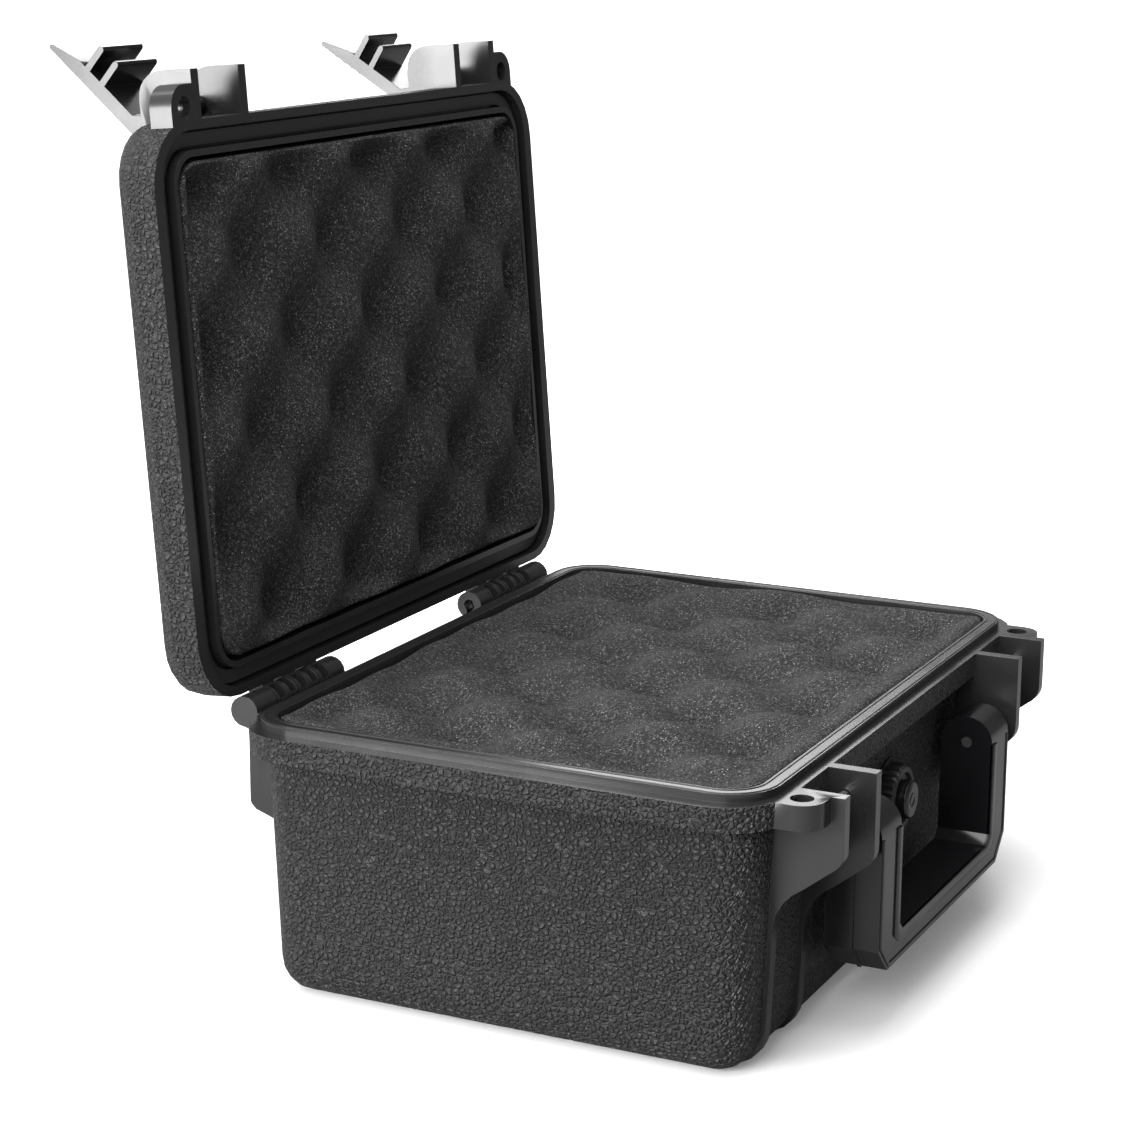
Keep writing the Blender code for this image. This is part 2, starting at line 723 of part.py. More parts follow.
def make_lid_shell():
    rings = [section_ring(*row) for row in lid_section()]
    shell = loft("lid_shell", rings, PARTS)
    added = []
    cuts = []
    for name, side in SIDES.items():
        bore_radius = LATCH_PIN_RADIUS + PIN_CLEARANCE
        ends = pin_ends(side, BLIND)
        cuts.append(rod("latch_bore_" + name, bore_radius, *ends, (LATCH_Y, LATCH_Z), "X", CUTTERS, 12))
        for label, plate_x in (("outer", OUTER_PLATE_X), ("inner", INNER_PLATE_X)):
            span = sorted((side * plate_x, side * (plate_x - PLATE)))
            loops = [lid_plate_outline()]
            added.append(outline(f"lid_{label}_plate_{name}", loops, *span, "YZ", CUTTERS))
        top = LID_Z + FLANGE_HEIGHT
        added.append(outline("lid_ear_" + name, ear_outline(side), LID_Z, top, "XY", CUTTERS))
        for index in range(1, len(HINGE_LENGTHS), 2):
            low, high = hinge_spans()[index]
            span = sorted((side * low, side * high))
            label = f"lid_knuckle_{name}_{index}"
            added.append(outline(label, [knuckle_outline(True)], *span, "YZ", CUTTERS))
        cuts.append(hinge_bore("lid_hinge_bore_" + name, side, HINGE_OUTER_X))
        cuts += hinge_windows(side, True)
    combine(shell, added, "UNION")
    combine(shell, cuts, "DIFFERENCE")
    dress(shell, PLASTIC)
    hang(shell, LID_PIVOT)


def make_gasket():
    """The seal ring in the bottom of the lid's groove."""
    side = TONGUE_SIDE_INSET + GAP
    front = TONGUE_FRONT_INSET + GAP
    width = TONGUE_WIDTH - 2 * GAP
    top = LID_Z + GROOVE_DEPTH - GAP
    low = LID_Z + GROOVE_DEPTH - GASKET_HEIGHT
    section = [(top, side, front), (low, side, front)]
    section += [(low, side + width, front + width), (top, side + width, front + width)]
    made = loft("lid_gasket", [section_ring(*row) for row in section], PARTS, capped=False)
    dress(made, SEAL)
    hang(made, LID_PIVOT)


# ---------------------------------------------------------------- latches


def latch_point(out, down):
    """A point of the closed latch's side view, from its pivot outwards and down."""
    return (LATCH_Y - out, LATCH_Z - down)


def hook_points(start):
    """One hook of the latch, a plate from the lever's inner face to a round tip by the wall."""
    half = HOOK_THICKNESS / 2
    tip = latch_point(half - HOOK_TIP, start + half)
    points = [latch_point(LATCH_INNER, start + HOOK_THICKNESS)]
    points += arc(tip, half, -90, 90, 4)
    points.append(latch_point(LATCH_INNER, start))
    return points


def latch_outline():
    """Side view of a closed latch: hub, root web, lever slab, tapered tip and two hooks."""
    points = arc((LATCH_Y, LATCH_Z), LATCH_HUB, -60, 125, 8)
    points += [latch_point(0.0048, -0.0007), latch_point(LATCH_INNER, 0.0004)]
    points += [latch_point(LATCH_OUTER - 0.0012, 0.0012), latch_point(LATCH_OUTER, 0.0024)]
    points += [latch_point(LATCH_OUTER, LATCH_LENGTH - 0.0007)]
    points += [latch_point(LATCH_OUTER - 0.0007, LATCH_LENGTH)]
    points += [latch_point(LATCH_OUTER - 0.0016, LATCH_LENGTH - 0.0007)]
    points.append(latch_point(LATCH_INNER, LATCH_LENGTH - LATCH_TAPER))
    points += hook_points(HOOK_FAR) + hook_points(HOOK_NEAR)
    points += [latch_point(LATCH_INNER, 0.0062), latch_point(LATCH_INNER - 0.0022, 0.0036)]
    points.append(latch_point(0.0034, 0.0026))
    return points


def make_latches():
    for name, side in SIDES.items():
        centre = side * LATCH_X
        span = (centre - LATCH_WIDTH / 2, centre + LATCH_WIDTH / 2)
        bore = circle((LATCH_Y, LATCH_Z), LATCH_PIN_RADIUS + PIN_CLEARANCE, 12)
        made = outline("latch_" + name, [latch_outline(), bore], *span, "YZ", PARTS)
        dress(made, GLOSS)
        place = (centre, LATCH_Y, LATCH_Z)
        hang(made, pivot("latch_pivot_" + name, place, -LATCH_OPEN[name], PARTS, LID_PIVOT))
        ends = pin_ends(side, BLIND - PIN_SHORT)
        pin = rod("latch_pin_" + name, LATCH_PIN_RADIUS, *ends, (LATCH_Y, LATCH_Z), "X", PARTS)
        dress(pin, METAL)
        hang(pin, LID_PIVOT)


# ---------------------------------------------------------------- handle


def handle_outline():
    """Front view of the handle: a U with cut lower corners, up to its pivot line."""
    half, inner = HANDLE_OUTER_X, HANDLE_OUTER_X - HANDLE_ARM
    low, top, cut = HANDLE_BOTTOM_Z, HANDLE_PIVOT_Z, HANDLE_CHAMFER
    corner = HANDLE_WINDOW_CHAMFER
    window = HANDLE_BOTTOM_Z + HANDLE_BAR
    points = [(half, top), (inner, top), (inner, window + corner)]
    points += [(inner - corner, window), (-inner + corner, window), (-inner, window + corner)]
    points += [(-inner, top), (-half, top), (-half, low + cut), (-half + cut, low)]
    points += [(half - cut, low), (half, low + cut)]
    return points


def make_handle():
    front = HANDLE_Y - HANDLE_DEPTH / 2
    made = outline("handle", [handle_outline()], front, front + HANDLE_DEPTH, "XZ", PARTS)
    heads = []
    bores = []
    for name, side in SIDES.items():
        ends = sorted((side * HANDLE_OUTER_X, side * (HANDLE_OUTER_X - HANDLE_ARM)))
        centre = (HANDLE_Y, HANDLE_PIVOT_Z)
        heads.append(rod("handle_head_" + name, HANDLE_DEPTH / 2, *ends, centre, "X", CUTTERS, 28))
        reach = (ends[0] - 0.001, ends[1] + 0.001)
        bore_radius = HANDLE_PIN_RADIUS + PIN_CLEARANCE
        bores.append(rod("handle_bore_" + name, bore_radius, *reach, centre, "X", CUTTERS, 12))
    combine(made, heads, "UNION")
    combine(made, bores, "DIFFERENCE")
    bake_origin(made, (0, HANDLE_Y, HANDLE_PIVOT_Z))
    dress(made, GLOSS)
    for name, side in SIDES.items():
        inside = INNER_PLATE_X - PLATE + BLIND - PIN_SHORT
        ends = sorted((side * (HANDLE_OUTER_X - HANDLE_ARM), side * inside))
        pin = rod("handle_pin_" + name, HANDLE_PIN_RADIUS, *ends, (HANDLE_Y, HANDLE_PIVOT_Z), "X", PARTS)
        dress(pin, METAL)


def bake_origin(made, place):
    """Moves an object's origin onto its joint's axis, its shape where it was."""
    made.data.transform(Matrix.Translation(-Vector(place)))
    made.matrix_world = Matrix.Translation(place)


# ---------------------------------------------------------------- pressure valve


def knob_ring(radius, depth, toothed):
    """One ring of the knob, with or without its teeth, about the valve's axis."""
    count = VALVE_TEETH * 3
    points = []
    for i in range(count):
        angle = math.tau * i / count
        cut = KNOB_TOOTH if toothed and i % 3 == 2 else 0.0
        r = radius - cut
        points.append((r * math.cos(angle), depth, VALVE_Z + r * math.sin(angle)))
    return points


def make_valve():
    boss_y = -(HALF_Y - VALVE_BOSS_FACE)
    face_y = -(HALF_Y - KNOB_INSET)
    knob_back = boss_y - GAP
    inside = knob_back - 2 * O_RING_MINOR - 2 * GAP
    dish = face_y + KNOB_DISH_DEPTH
    seat = O_RING_MAJOR + O_RING_MINOR
    rings = [knob_ring(KNOB_RADIUS, knob_back, True), knob_ring(KNOB_RADIUS, face_y + KNOB_CHAMFER, True)]
    rings += [knob_ring(KNOB_RADIUS - KNOB_RIM, face_y, False), knob_ring(KNOB_DISH_RADIUS, face_y, False)]
    rings += [knob_ring(KNOB_DISH_FOOT, dish, False), knob_ring(KNOB_BORE, dish, False)]
    rings += [knob_ring(KNOB_BORE, inside, False), knob_ring(seat, inside, False)]
    rings.append(knob_ring(seat, knob_back, False))
    knob = loft("valve_knob", rings, PARTS, capped=False)
    bake_origin(knob, (0, knob_back, VALVE_Z))
    dress(knob, GLOSS)
    make_valve_core(boss_y, inside)
    make_valve_button(face_y)


def make_valve_core(boss_y, inside):
    """The threaded body through the wall, its O-ring, its inner nut and its vent membrane."""
    stem = VALVE_BORE - PIN_CLEARANCE
    length = -(HALF_Y - VALVE_STEM_INSIDE) - (inside + GAP)
    profile = [(stem, 0.0), (stem, -length), (VENT_BORE, -length), (VENT_BORE, 0.0)]
    body = turned("valve_body", profile, inside + GAP, VALVE_Z, PARTS)
    dress(body, GLOSS)
    squeezed = O_RING_MINOR * O_RING_SHARE
    middle_radius = O_RING_MAJOR - O_RING_MINOR + squeezed
    ring = []
    for i in range(O_RING_STEPS):
        angle = math.tau * i / O_RING_STEPS
        height = O_RING_MINOR + O_RING_MINOR * math.sin(angle)
        ring.append((middle_radius + squeezed * math.cos(angle), height))
    dress(turned("valve_o_ring", ring, boss_y - GAP, VALVE_Z, PARTS), SEAL)
    wall_in = -(HALF_Y - wall_inset(VALVE_Z) - WALL)
    nut_y = wall_in + NUT_WALL_GAP
    bore = circle((0, VALVE_Z), VALVE_BORE + PIN_CLEARANCE / 2, 24)
    loops = [circle((0, VALVE_Z), NUT_RADIUS, 6), bore]
    nut = outline("valve_nut", loops, nut_y, -(HALF_Y - VALVE_STEM_INSIDE) - GAP, "XZ", PARTS)
    dress(nut, PLASTIC)
    back = -(HALF_Y - VALVE_STEM_INSIDE) - MEMBRANE_DEPTH
    ends = (back - MEMBRANE_THICKNESS, back)
    disc = rod("valve_membrane", VENT_BORE - GAP, *ends, (0, VALVE_Z), "Y", PARTS)
    dress(disc, SEAL)


def make_valve_button(face_y):
    """The button cap: a round head on a stem that stands in the knob's bore."""
    out = BUTTON_HEIGHT
    under = GAP - KNOB_DISH_DEPTH
    stem = KNOB_BORE - GAP
    mark = BUTTON_MARK_RADIUS
    head = [(0.0, out), (mark, out), (mark + 0.0002, out - 0.0003), (mark * 2, out - 0.0003)]
    head += [(BUTTON_RADIUS - 0.0006, out - 0.0001), (BUTTON_RADIUS, out - 0.0008)]
    head += [(BUTTON_RADIUS, under + 0.0004), (BUTTON_RADIUS - 0.0004, under)]
    head += [(stem, under), (stem, under - BUTTON_STEM), (0.0, under - BUTTON_STEM)]
    dress(turned("valve_button", head, face_y, VALVE_Z, PARTS), GLOSS)


# ---------------------------------------------------------------- foam


def foam_rings(low, high, clear):
    """Rings of a foam layer that follows the base's inner wall."""
    rings = []
    for z in (low, high):
        inset = wall_inset(max(z, BOTTOM_RADIUS)) + WALL + clear
        side = max(inset, TONGUE_SIDE_INSET + TONGUE_WIDTH + clear)
        front = max(inset, TONGUE_FRONT_INSET + TONGUE_WIDTH + clear)
        rings.append(section_ring(z, side, front))
    return rings


def make_foam():
    deep = FOAM_GAP + BOTTOM_RADIUS - WALL
    low = FLOOR + GAP
    rings = [section_ring(low, wall_inset(low) + WALL + deep, wall_inset(low) + WALL + deep)]
    rings += foam_rings(FLOOR + BOTTOM_RADIUS, FOAM_SPLIT_Z, FOAM_GAP)
    dress(loft("base_foam_block", rings, PARTS), FOAM)
    top = BASE_HEIGHT - FOAM_TOP_DROP
    pad = loft("base_foam_pad", foam_rings(FOAM_SPLIT_Z + GAP, top, FOAM_GAP), PARTS)
    reach = NUT_RADIUS + VALVE_POCKET
    low_corner = (-reach, -HALF_Y, VALVE_Z - reach)
    high_corner = (reach, -(HALF_Y - VALVE_STEM_INSIDE - VALVE_POCKET), VALVE_Z + reach)
    combine(pad, [box("valve_pocket", low_corner, high_corner, CUTTERS)], "DIFFERENCE")
    dress(pad, FOAM)
    side = TONGUE_SIDE_INSET + GROOVE_CLEARANCE + TONGUE_WIDTH + LID_LIP + FOAM_GAP
    front = TONGUE_FRONT_INSET + GROOVE_CLEARANCE + TONGUE_WIDTH + LID_LIP + FOAM_GAP
    low, high = LID_Z - SEAL_GAP, LID_Z + LID_BAND
    lid = loft("lid_foam_pad", [section_ring(low, side, front), section_ring(high, side, front)], PARTS)
    dress(lid, FOAM)
    hang(lid, LID_PIVOT)


# ---------------------------------------------------------------- build

clear_scene()
PARTS = new_collection("equipment_case")
CUTTERS = new_collection("cutters")
PLASTIC = material("grained_plastic", BLACK, 0.55)
GLOSS = material("smooth_plastic", DARK, 0.32)
METAL = material("pin_steel", STEEL, 0.3, 1.0)
SEAL = material("seal_rubber", RUBBER, 0.7)
FOAM = material("open_foam", FOAM_GREY, 0.95)
LID_PIVOT = pivot("lid_pivot", (0, HINGE_Y, BASE_HEIGHT), -OPEN_ANGLE, PARTS)

make_base_shell()
make_hinge_pins()
make_strike_pins()
make_lid_shell()
make_gasket()
make_latches()
make_handle()
make_valve()
make_foam()
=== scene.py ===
"""Hard equipment case, open: grained shells, smooth latches and handle, egg-crate foam, on a pale floor."""

import json
import logging
import math
from dataclasses import dataclass, field
from enum import Enum

import bmesh
import bpy
import numpy as np
from mathutils import Matrix, Vector


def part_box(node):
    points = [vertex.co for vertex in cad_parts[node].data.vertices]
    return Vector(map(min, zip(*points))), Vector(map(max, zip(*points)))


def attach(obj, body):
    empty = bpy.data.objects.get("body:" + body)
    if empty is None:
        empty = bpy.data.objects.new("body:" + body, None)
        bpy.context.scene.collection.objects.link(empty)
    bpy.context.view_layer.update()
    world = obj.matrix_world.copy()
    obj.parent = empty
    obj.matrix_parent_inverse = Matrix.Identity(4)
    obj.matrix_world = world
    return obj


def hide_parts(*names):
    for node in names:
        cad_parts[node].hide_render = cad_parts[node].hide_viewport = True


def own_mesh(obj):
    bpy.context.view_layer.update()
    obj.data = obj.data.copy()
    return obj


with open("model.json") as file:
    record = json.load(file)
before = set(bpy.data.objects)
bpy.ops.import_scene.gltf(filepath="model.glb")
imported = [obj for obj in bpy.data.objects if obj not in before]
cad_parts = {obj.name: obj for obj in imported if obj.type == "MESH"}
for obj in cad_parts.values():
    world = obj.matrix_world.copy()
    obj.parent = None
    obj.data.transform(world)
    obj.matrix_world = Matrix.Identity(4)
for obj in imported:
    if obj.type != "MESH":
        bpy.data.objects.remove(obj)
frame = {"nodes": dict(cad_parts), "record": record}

LOG = logging.getLogger("case")
Colour = tuple[float, float, float, float]
Socket = bpy.types.NodeSocket

SHELL_BLACK: Colour = (0.019, 0.019, 0.020, 1.0)
GLOSS_BLACK: Colour = (0.007, 0.007, 0.008, 1.0)
SATIN_BLACK: Colour = (0.011, 0.011, 0.012, 1.0)
STEEL: Colour = (0.52, 0.52, 0.53, 1.0)
SEAL_BLACK: Colour = (0.030, 0.030, 0.031, 1.0)
FOAM_CHARCOAL: Colour = (0.004, 0.004, 0.0045, 1.0)
# Pale grey painted onto a few foam cells as painted highlights (sparkles).
FOAM_PAINTED_GLINT: Colour = (0.42, 0.42, 0.43, 1.0)

# Half the rim's width and depth, and the gap between the two rims with the lid shut
HALF_WIDTH = 0.120
HALF_DEPTH = 0.0862
SEAL_GAP = 0.0004

# The angle past which a copied part's edge is sharp, and the tangent of 22.5 degrees for mitred corners
SHARP = math.radians(34)
MITRE = 0.414


class Side(Enum):
    """The two sides of the case, seen from the front."""

    LEFT = -1.0
    RIGHT = 1.0


# ---------------------------------------------------------------- frame facts


@dataclass(frozen=True)
class Layout:
    """Places on the case, in metres: the hinge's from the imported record, the rim's from its half sizes."""

    hinge_y: float
    hinge_z: float
    open_angle: float
    rim_z: float
    half_x: float
    half_y: float

    @classmethod
    def read(cls) -> "Layout":
        """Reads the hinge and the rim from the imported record.

        Returns:
            The layout.
        """
        joints = {j["name"]: j for j in frame["record"]["behaviour"]["joints"]}
        hinge = joints["lid_hinge"]
        _, hinge_y, hinge_z = hinge["pos_m"]
        return cls(
            hinge_y=hinge_y,
            hinge_z=hinge_z,
            open_angle=math.radians(hinge["range_deg"][1]),
            rim_z=hinge_z,
            half_x=HALF_WIDTH,
            half_y=HALF_DEPTH,
        )

    def lid_turn(self) -> Matrix:
        """The matrix from the shut lid to the open one."""
        place = Matrix.Translation((0, self.hinge_y, self.hinge_z))
        return place @ Matrix.Rotation(-self.open_angle, 4, "X") @ place.inverted()


# ---------------------------------------------------------------- node helpers


class Graph:
    """Short ways to add and join shader nodes in one tree."""

    def __init__(self, tree: bpy.types.NodeTree) -> None:
        """Holds the tree that nodes are added to."""
        self.tree = tree

    def add(self, kind: str, **sockets: object) -> bpy.types.Node:
        """Adds a node and sets or joins its inputs.

        Args:
            kind: the node's type name.
            sockets: input names with underscores for spaces, each a value or an output socket.

        Returns:
            The node.
        """
        node = self.tree.nodes.new(kind)
        for name, value in sockets.items():
            self.put(node, name.replace("_", " "), value)
        return node

    def put(self, node: bpy.types.Node, name: str | int, value: object) -> None:
        """Sets an input to a value, or joins an output socket to it.

        Args:
            node: the node that takes it.
            name: the input's name or number.
            value: a plain value or an output socket.
        """
        if isinstance(value, Socket):
            self.tree.links.new(value, node.inputs[name])
        else:
            node.inputs[name].default_value = value

    def math(self, operation: str, a: object, b: object) -> Socket:
        """A math node's output.

        Args:
            operation: the node's operation.
            a: first input.
            b: second input.

        Returns:
            The output socket.
        """
        node = self.tree.nodes.new("ShaderNodeMath")
        node.operation = operation
        self.put(node, 0, a)
        self.put(node, 1, b)
        return node.outputs[0]

    def ramp(
        self, value: object, low: float, high: float, out: tuple[float, float] = (0.0, 1.0)
    ) -> Socket:
        """A smooth step from one value to another.

        Args:
            value: the input.
            low: input where the step starts.
            high: input where it ends.
            out: the outputs at the two ends.

        Returns:
            The output socket.
        """
        node = self.tree.nodes.new("ShaderNodeMapRange")
        node.interpolation_type = "SMOOTHSTEP"
        self.put(node, "Value", value)
        self.put(node, "From Min", low)
        self.put(node, "From Max", high)
        self.put(node, "To Min", out[0])
        self.put(node, "To Max", out[1])
        return node.outputs[0]

    def noise(self, vector: object, scale: float, detail: float = 2.0) -> Socket:
        """A noise texture's value.

        Args:
            vector: where it is read.
            scale: cells to the metre.
            detail: layers of finer noise.

        Returns:
            The output socket.
        """
        node = self.add("ShaderNodeTexNoise", Vector=vector, Scale=scale, Detail=detail)
        return node.outputs["Fac"]

    def cells(self, vector: object, scale: float, feature: str = "F1") -> Socket:
        """A Voronoi texture's distance.

        Args:
            vector: where it is read.
            scale: cells to the metre.
            feature: the distance it gives.

        Returns:
            The output socket.
        """
        node = self.tree.nodes.new("ShaderNodeTexVoronoi")
        node.feature = feature
        self.put(node, "Vector", vector)
        self.put(node, "Scale", scale)
        return node.outputs["Distance"]

    def bump(self, height: object, strength: float, distance: float) -> Socket:
        """A bump node's normal.

        Args:
            height: the height in distance units.
            strength: how much of it is used.
            distance: metres to a height of 1.

        Returns:
            The output socket.
        """
        node = self.add("ShaderNodeBump", Height=height, Strength=strength, Distance=distance)
        return node.outputs[0]

    def blend(self, mask: object, low: object, high: object) -> Socket:
        """Mixes two colours.

        Args:
            mask: 0 for the first colour, 1 for the second.
            low: the first colour.
            high: the second colour.

        Returns:
            The mixed colour's socket.
        """
        node = self.tree.nodes.new("ShaderNodeMix")
        node.data_type = "RGBA"
        self.put(node, 0, mask)
        self.put(node, 6, low)
        self.put(node, 7, high)
        return node.outputs[2]

    def place(self, tree: bpy.types.NodeTree, vector: Socket) -> bpy.types.Node:
        """A shared effect in this tree.

        Args:
            tree: the effect's group.
            vector: where it is read.

        Returns:
            The group node.
        """
        node = self.tree.nodes.new("ShaderNodeGroup")
        node.node_tree = tree
        self.put(node, "Vector", vector)
        return node

    def xyz(self, vector: object) -> list[Socket]:
        """The three parts of a vector."""
        node = self.add("ShaderNodeSeparateXYZ", Vector=vector)
        return list(node.outputs)


def group(name: str, outputs: list[str]) -> tuple[bpy.types.NodeTree, Graph, Socket]:
    """A new shader group with a Vector input and named outputs.

    Args:
        name: the group's name.
        outputs: the names of its values.

    Returns:
        The tree, its graph and the Vector input.
    """
    tree = bpy.data.node_groups.new(name, "ShaderNodeTree")
    tree.interface.new_socket("Vector", in_out="INPUT", socket_type="NodeSocketVector")
    for label in outputs:
        tree.interface.new_socket(label, in_out="OUTPUT", socket_type="NodeSocketFloat")
    graph = Graph(tree)
    inside = tree.nodes.new("NodeGroupInput")
    return tree, graph, inside.outputs["Vector"]


def group_ends(graph: Graph, values: dict[str, Socket]) -> None:
    """Joins a group's outputs.

    Args:
        graph: the group's graph.
        values: output names and what goes to each.
    """
    end = graph.tree.nodes.new("NodeGroupOutput")
    for name, value in values.items():
        graph.put(end, name, value)


@dataclass
class Effects:
    """The node groups that several finishes share."""

    grain: bpy.types.NodeTree = field(init=False)
    wear: bpy.types.NodeTree = field(init=False)
    foam: bpy.types.NodeTree = field(init=False)

    def __post_init__(self) -> None:
        """Makes the groups."""
        self.grain = self.make_grain()
        self.wear = self.make_wear()
        self.foam = self.make_foam()

    def make_grain(self) -> bpy.types.NodeTree:
        """Moulded pebble grain: rounded cells bent by noise, with finer pits between them, and a crease mask
        for painted shade.

        Returns:
            The group.
        """
        tree, g, vector = group("pebble_grain", ["Height", "Pits"])
        bend = g.add("ShaderNodeTexNoise", Vector=vector, Scale=420.0, Detail=2.0)
        shift = g.add("ShaderNodeVectorMath")
        shift.operation = "MULTIPLY_ADD"
        g.put(shift, 0, bend.outputs["Color"])
        g.put(shift, 1, (0.0011, 0.0011, 0.0011))
        g.put(shift, 2, vector)
        creases = g.cells(shift.outputs[0], 560.0, "DISTANCE_TO_EDGE")
        pebbles = g.ramp(creases, 0.0, 0.30)
        fine = g.noise(vector, 1500.0, 3.0)
        height = g.math("ADD", g.math("MULTIPLY", pebbles, 0.85), g.math("MULTIPLY", fine, 0.3))
        # The Pits output marks the creases between pebbles, where the shell's colour takes painted shade.
        group_ends(g, {"Height": height, "Pits": g.ramp(creases, 0.10, 0.0)})
        return tree

    def make_wear(self) -> bpy.types.NodeTree:
        """Faint smudges and dust, slow over a face, that vary gloss and colour.

        Returns:
            The group.
        """
        tree, g, vector = group("handling_marks", ["Smudge", "Dust"])
        slow = g.noise(vector, 32.0, 4.0)
        speck = g.noise(vector, 900.0, 1.0)
        dust = g.ramp(speck, 0.70, 0.78)
        group_ends(g, {"Smudge": g.ramp(slow, 0.35, 0.65), "Dust": dust})
        return tree

    def make_foam(self) -> bpy.types.NodeTree:
        """Open cells of foam: small pits with walls between, some paler, and a few sparkle cells marked for
        gloss and a painted highlight.

        Returns:
            The group.
        """
        tree, g, vector = group("foam_cells", ["Height", "Pale", "Glint"])
        cell = g.add("ShaderNodeTexVoronoi", Vector=vector, Scale=1700.0)
        wall = g.ramp(cell.outputs["Distance"], 0.15, 0.75)
        pick = g.xyz(cell.outputs["Color"])
        few = g.ramp(pick[0], 0.84, 0.99)
        # Sparkle mask: lowers the foam's roughness and paints a pale highlight into its colour.
        gloss_and_painted_glint = g.math("MULTIPLY", few, g.ramp(cell.outputs["Distance"], 0.50, 0.24))
        rough = g.noise(vector, 700.0, 2.0)
        height = g.math("ADD", wall, g.math("MULTIPLY", rough, 0.9))
        pale = g.math("POWER", pick[1], 3.2)
        group_ends(g, {"Height": height, "Pale": pale, "Glint": gloss_and_painted_glint})
        return tree


# ---------------------------------------------------------------- finishes


@dataclass(frozen=True)
class Finish:
    """A finish with its own material: base colour, gloss and how much the handling marks show."""

    name: str
    colour: Colour
    roughness: float
    metallic: float = 0.0
    smudge: float = 0.08

    def start(self) -> tuple[bpy.types.Material, Graph, bpy.types.Node, Socket]:
        """A material with a Principled shader and object coordinates.

        Returns:
            The material, its graph, the shader and the coordinates.
        """
        made = bpy.data.materials.new(self.name)
        made.use_nodes = True
        g = Graph(made.node_tree)
        shader = made.node_tree.nodes["Principled BSDF"]
        where = g.add("ShaderNodeTexCoord").outputs["Object"]
        shader.inputs["Base Color"].default_value = self.colour
        shader.inputs["Metallic"].default_value = self.metallic
        return made, g, shader, where

    def build(self, effects: Effects) -> bpy.types.Material:
        """A smooth finish with faint marks in its gloss.

        Args:
            effects: the shared groups.

        Returns:
            The material.
        """
        made, g, shader, where = self.start()
        marks = g.place(effects.wear, where)
        gloss = g.math("MULTIPLY", marks.outputs["Smudge"], self.smudge)
        g.put(shader, "Roughness", g.math("ADD", gloss, self.roughness))
        fine = g.noise(where, 900.0, 2.0)
        g.put(shader, "Normal", g.bump(fine, 0.06, 0.00008))
        dusty = tuple(min(1.0, c * 1.6 + 0.004) for c in self.colour[:3]) + (1.0,)
        dust = g.math("MULTIPLY", marks.outputs["Dust"], 0.5)
        g.put(shader, "Base Color", g.blend(dust, self.colour, dusty))
        return made


@dataclass(frozen=True)
class GrainedPlastic(Finish):
    """Black plastic, grained on its outer walls and smooth on its plates, tongue and inside."""

    grain_depth: float = 0.0019
    smooth_roughness: float = 0.20

    def outer_mask(self, g: Graph) -> Socket:
        """The grained attribute: 1 on the outer walls, 0 on the plates, the rim, the hinges and inside."""
        attribute = g.add("ShaderNodeAttribute")
        attribute.attribute_name = "grained"
        return attribute.outputs["Fac"]

    def build(self, effects: Effects) -> bpy.types.Material:
        """Grain over the outer walls only, in height and gloss, with painted shade darkening the colour in
        its creases.

        Args:
            effects: the shared groups.

        Returns:
            The material.
        """
        made, g, shader, where = self.start()
        grain = g.place(effects.grain, where)
        marks = g.place(effects.wear, where)
        mask = self.outer_mask(g)
        rough = g.ramp(mask, 0.4, 0.6, (self.smooth_roughness, self.roughness))
        gloss = g.math("MULTIPLY", marks.outputs["Smudge"], self.smudge)
        g.put(shader, "Roughness", g.math("ADD", rough, gloss))
        height = g.math("MULTIPLY", grain.outputs["Height"], mask)
        g.put(shader, "Normal", g.bump(height, 0.9, self.grain_depth))
        # Painted shade: the colour darkens towards 45% in the grain's creases, where shade falls.
        pits = g.math("MULTIPLY", grain.outputs["Pits"], g.math("MULTIPLY", mask, 0.5))
        painted_crease_shade = tuple(c * 0.45 for c in self.colour[:3]) + (1.0,)
        g.put(shader, "Base Color", g.blend(pits, self.colour, painted_crease_shade))
        return made


@dataclass(frozen=True)
class OpenFoam(Finish):
    """Charcoal open-cell foam with dark pits, and a few glossier cell walls painted pale grey as a painted
    highlight.
    """

    cell_depth: float = 0.0014

    def build(self, effects: Effects) -> bpy.types.Material:
        """Cells in the height and colour, with sparkles: glossier spots whose colour takes a painted
        highlight.

        Args:
            effects: the shared groups.

        Returns:
            The material.
        """
        made, g, shader, where = self.start()
        cells = g.place(effects.foam, where)
        g.put(shader, "Roughness", g.ramp(cells.outputs["Glint"], 0.2, 0.8, (0.95, 0.3)))
        g.put(shader, "Normal", g.bump(cells.outputs["Height"], 1.0, self.cell_depth))
        shader.inputs["Sheen Weight"].default_value = 0.05
        shader.inputs["Sheen Roughness"].default_value = 0.5
        pale = tuple(c * 5.0 + 0.090 for c in self.colour[:3]) + (1.0,)
        speckled = g.blend(cells.outputs["Pale"], self.colour, pale)
        # Painted highlight: a few sparkle cells take pale grey in the base colour.
        g.put(shader, "Base Color", g.blend(cells.outputs["Glint"], speckled, FOAM_PAINTED_GLINT))
        return made


# ---------------------------------------------------------------- mesh helpers


def mesh_piece(
    name: str, points: np.ndarray, faces: list[np.ndarray], smooth: bool = True
) -> bpy.types.Object:
    """An object at the origin from whole arrays of points and faces.

    Args:
        name: the piece's name.
        points: an (n, 3) array in metres.
        faces: arrays of point numbers, each (m, 4) or (m, 3).
        smooth: whether its faces are smooth shaded.

    Returns:
        The object, its faces turned outwards.
    """
    mesh = bpy.data.meshes.new(name)
    mesh.from_pydata(points.tolist(), [], [row for rows in faces for row in rows.tolist()])
    made = bpy.data.objects.new(name, mesh)
    bpy.context.scene.collection.objects.link(made)
    form = bmesh.new()
    form.from_mesh(mesh)
    bmesh.ops.remove_doubles(form, verts=form.verts, dist=0.000001)
    bmesh.ops.recalc_face_normals(form, faces=form.faces)
    form.to_mesh(mesh)
    form.free()
    if smooth:
        mesh.shade_smooth()
        mesh.set_sharp_from_angle(angle=math.radians(40))
    return made


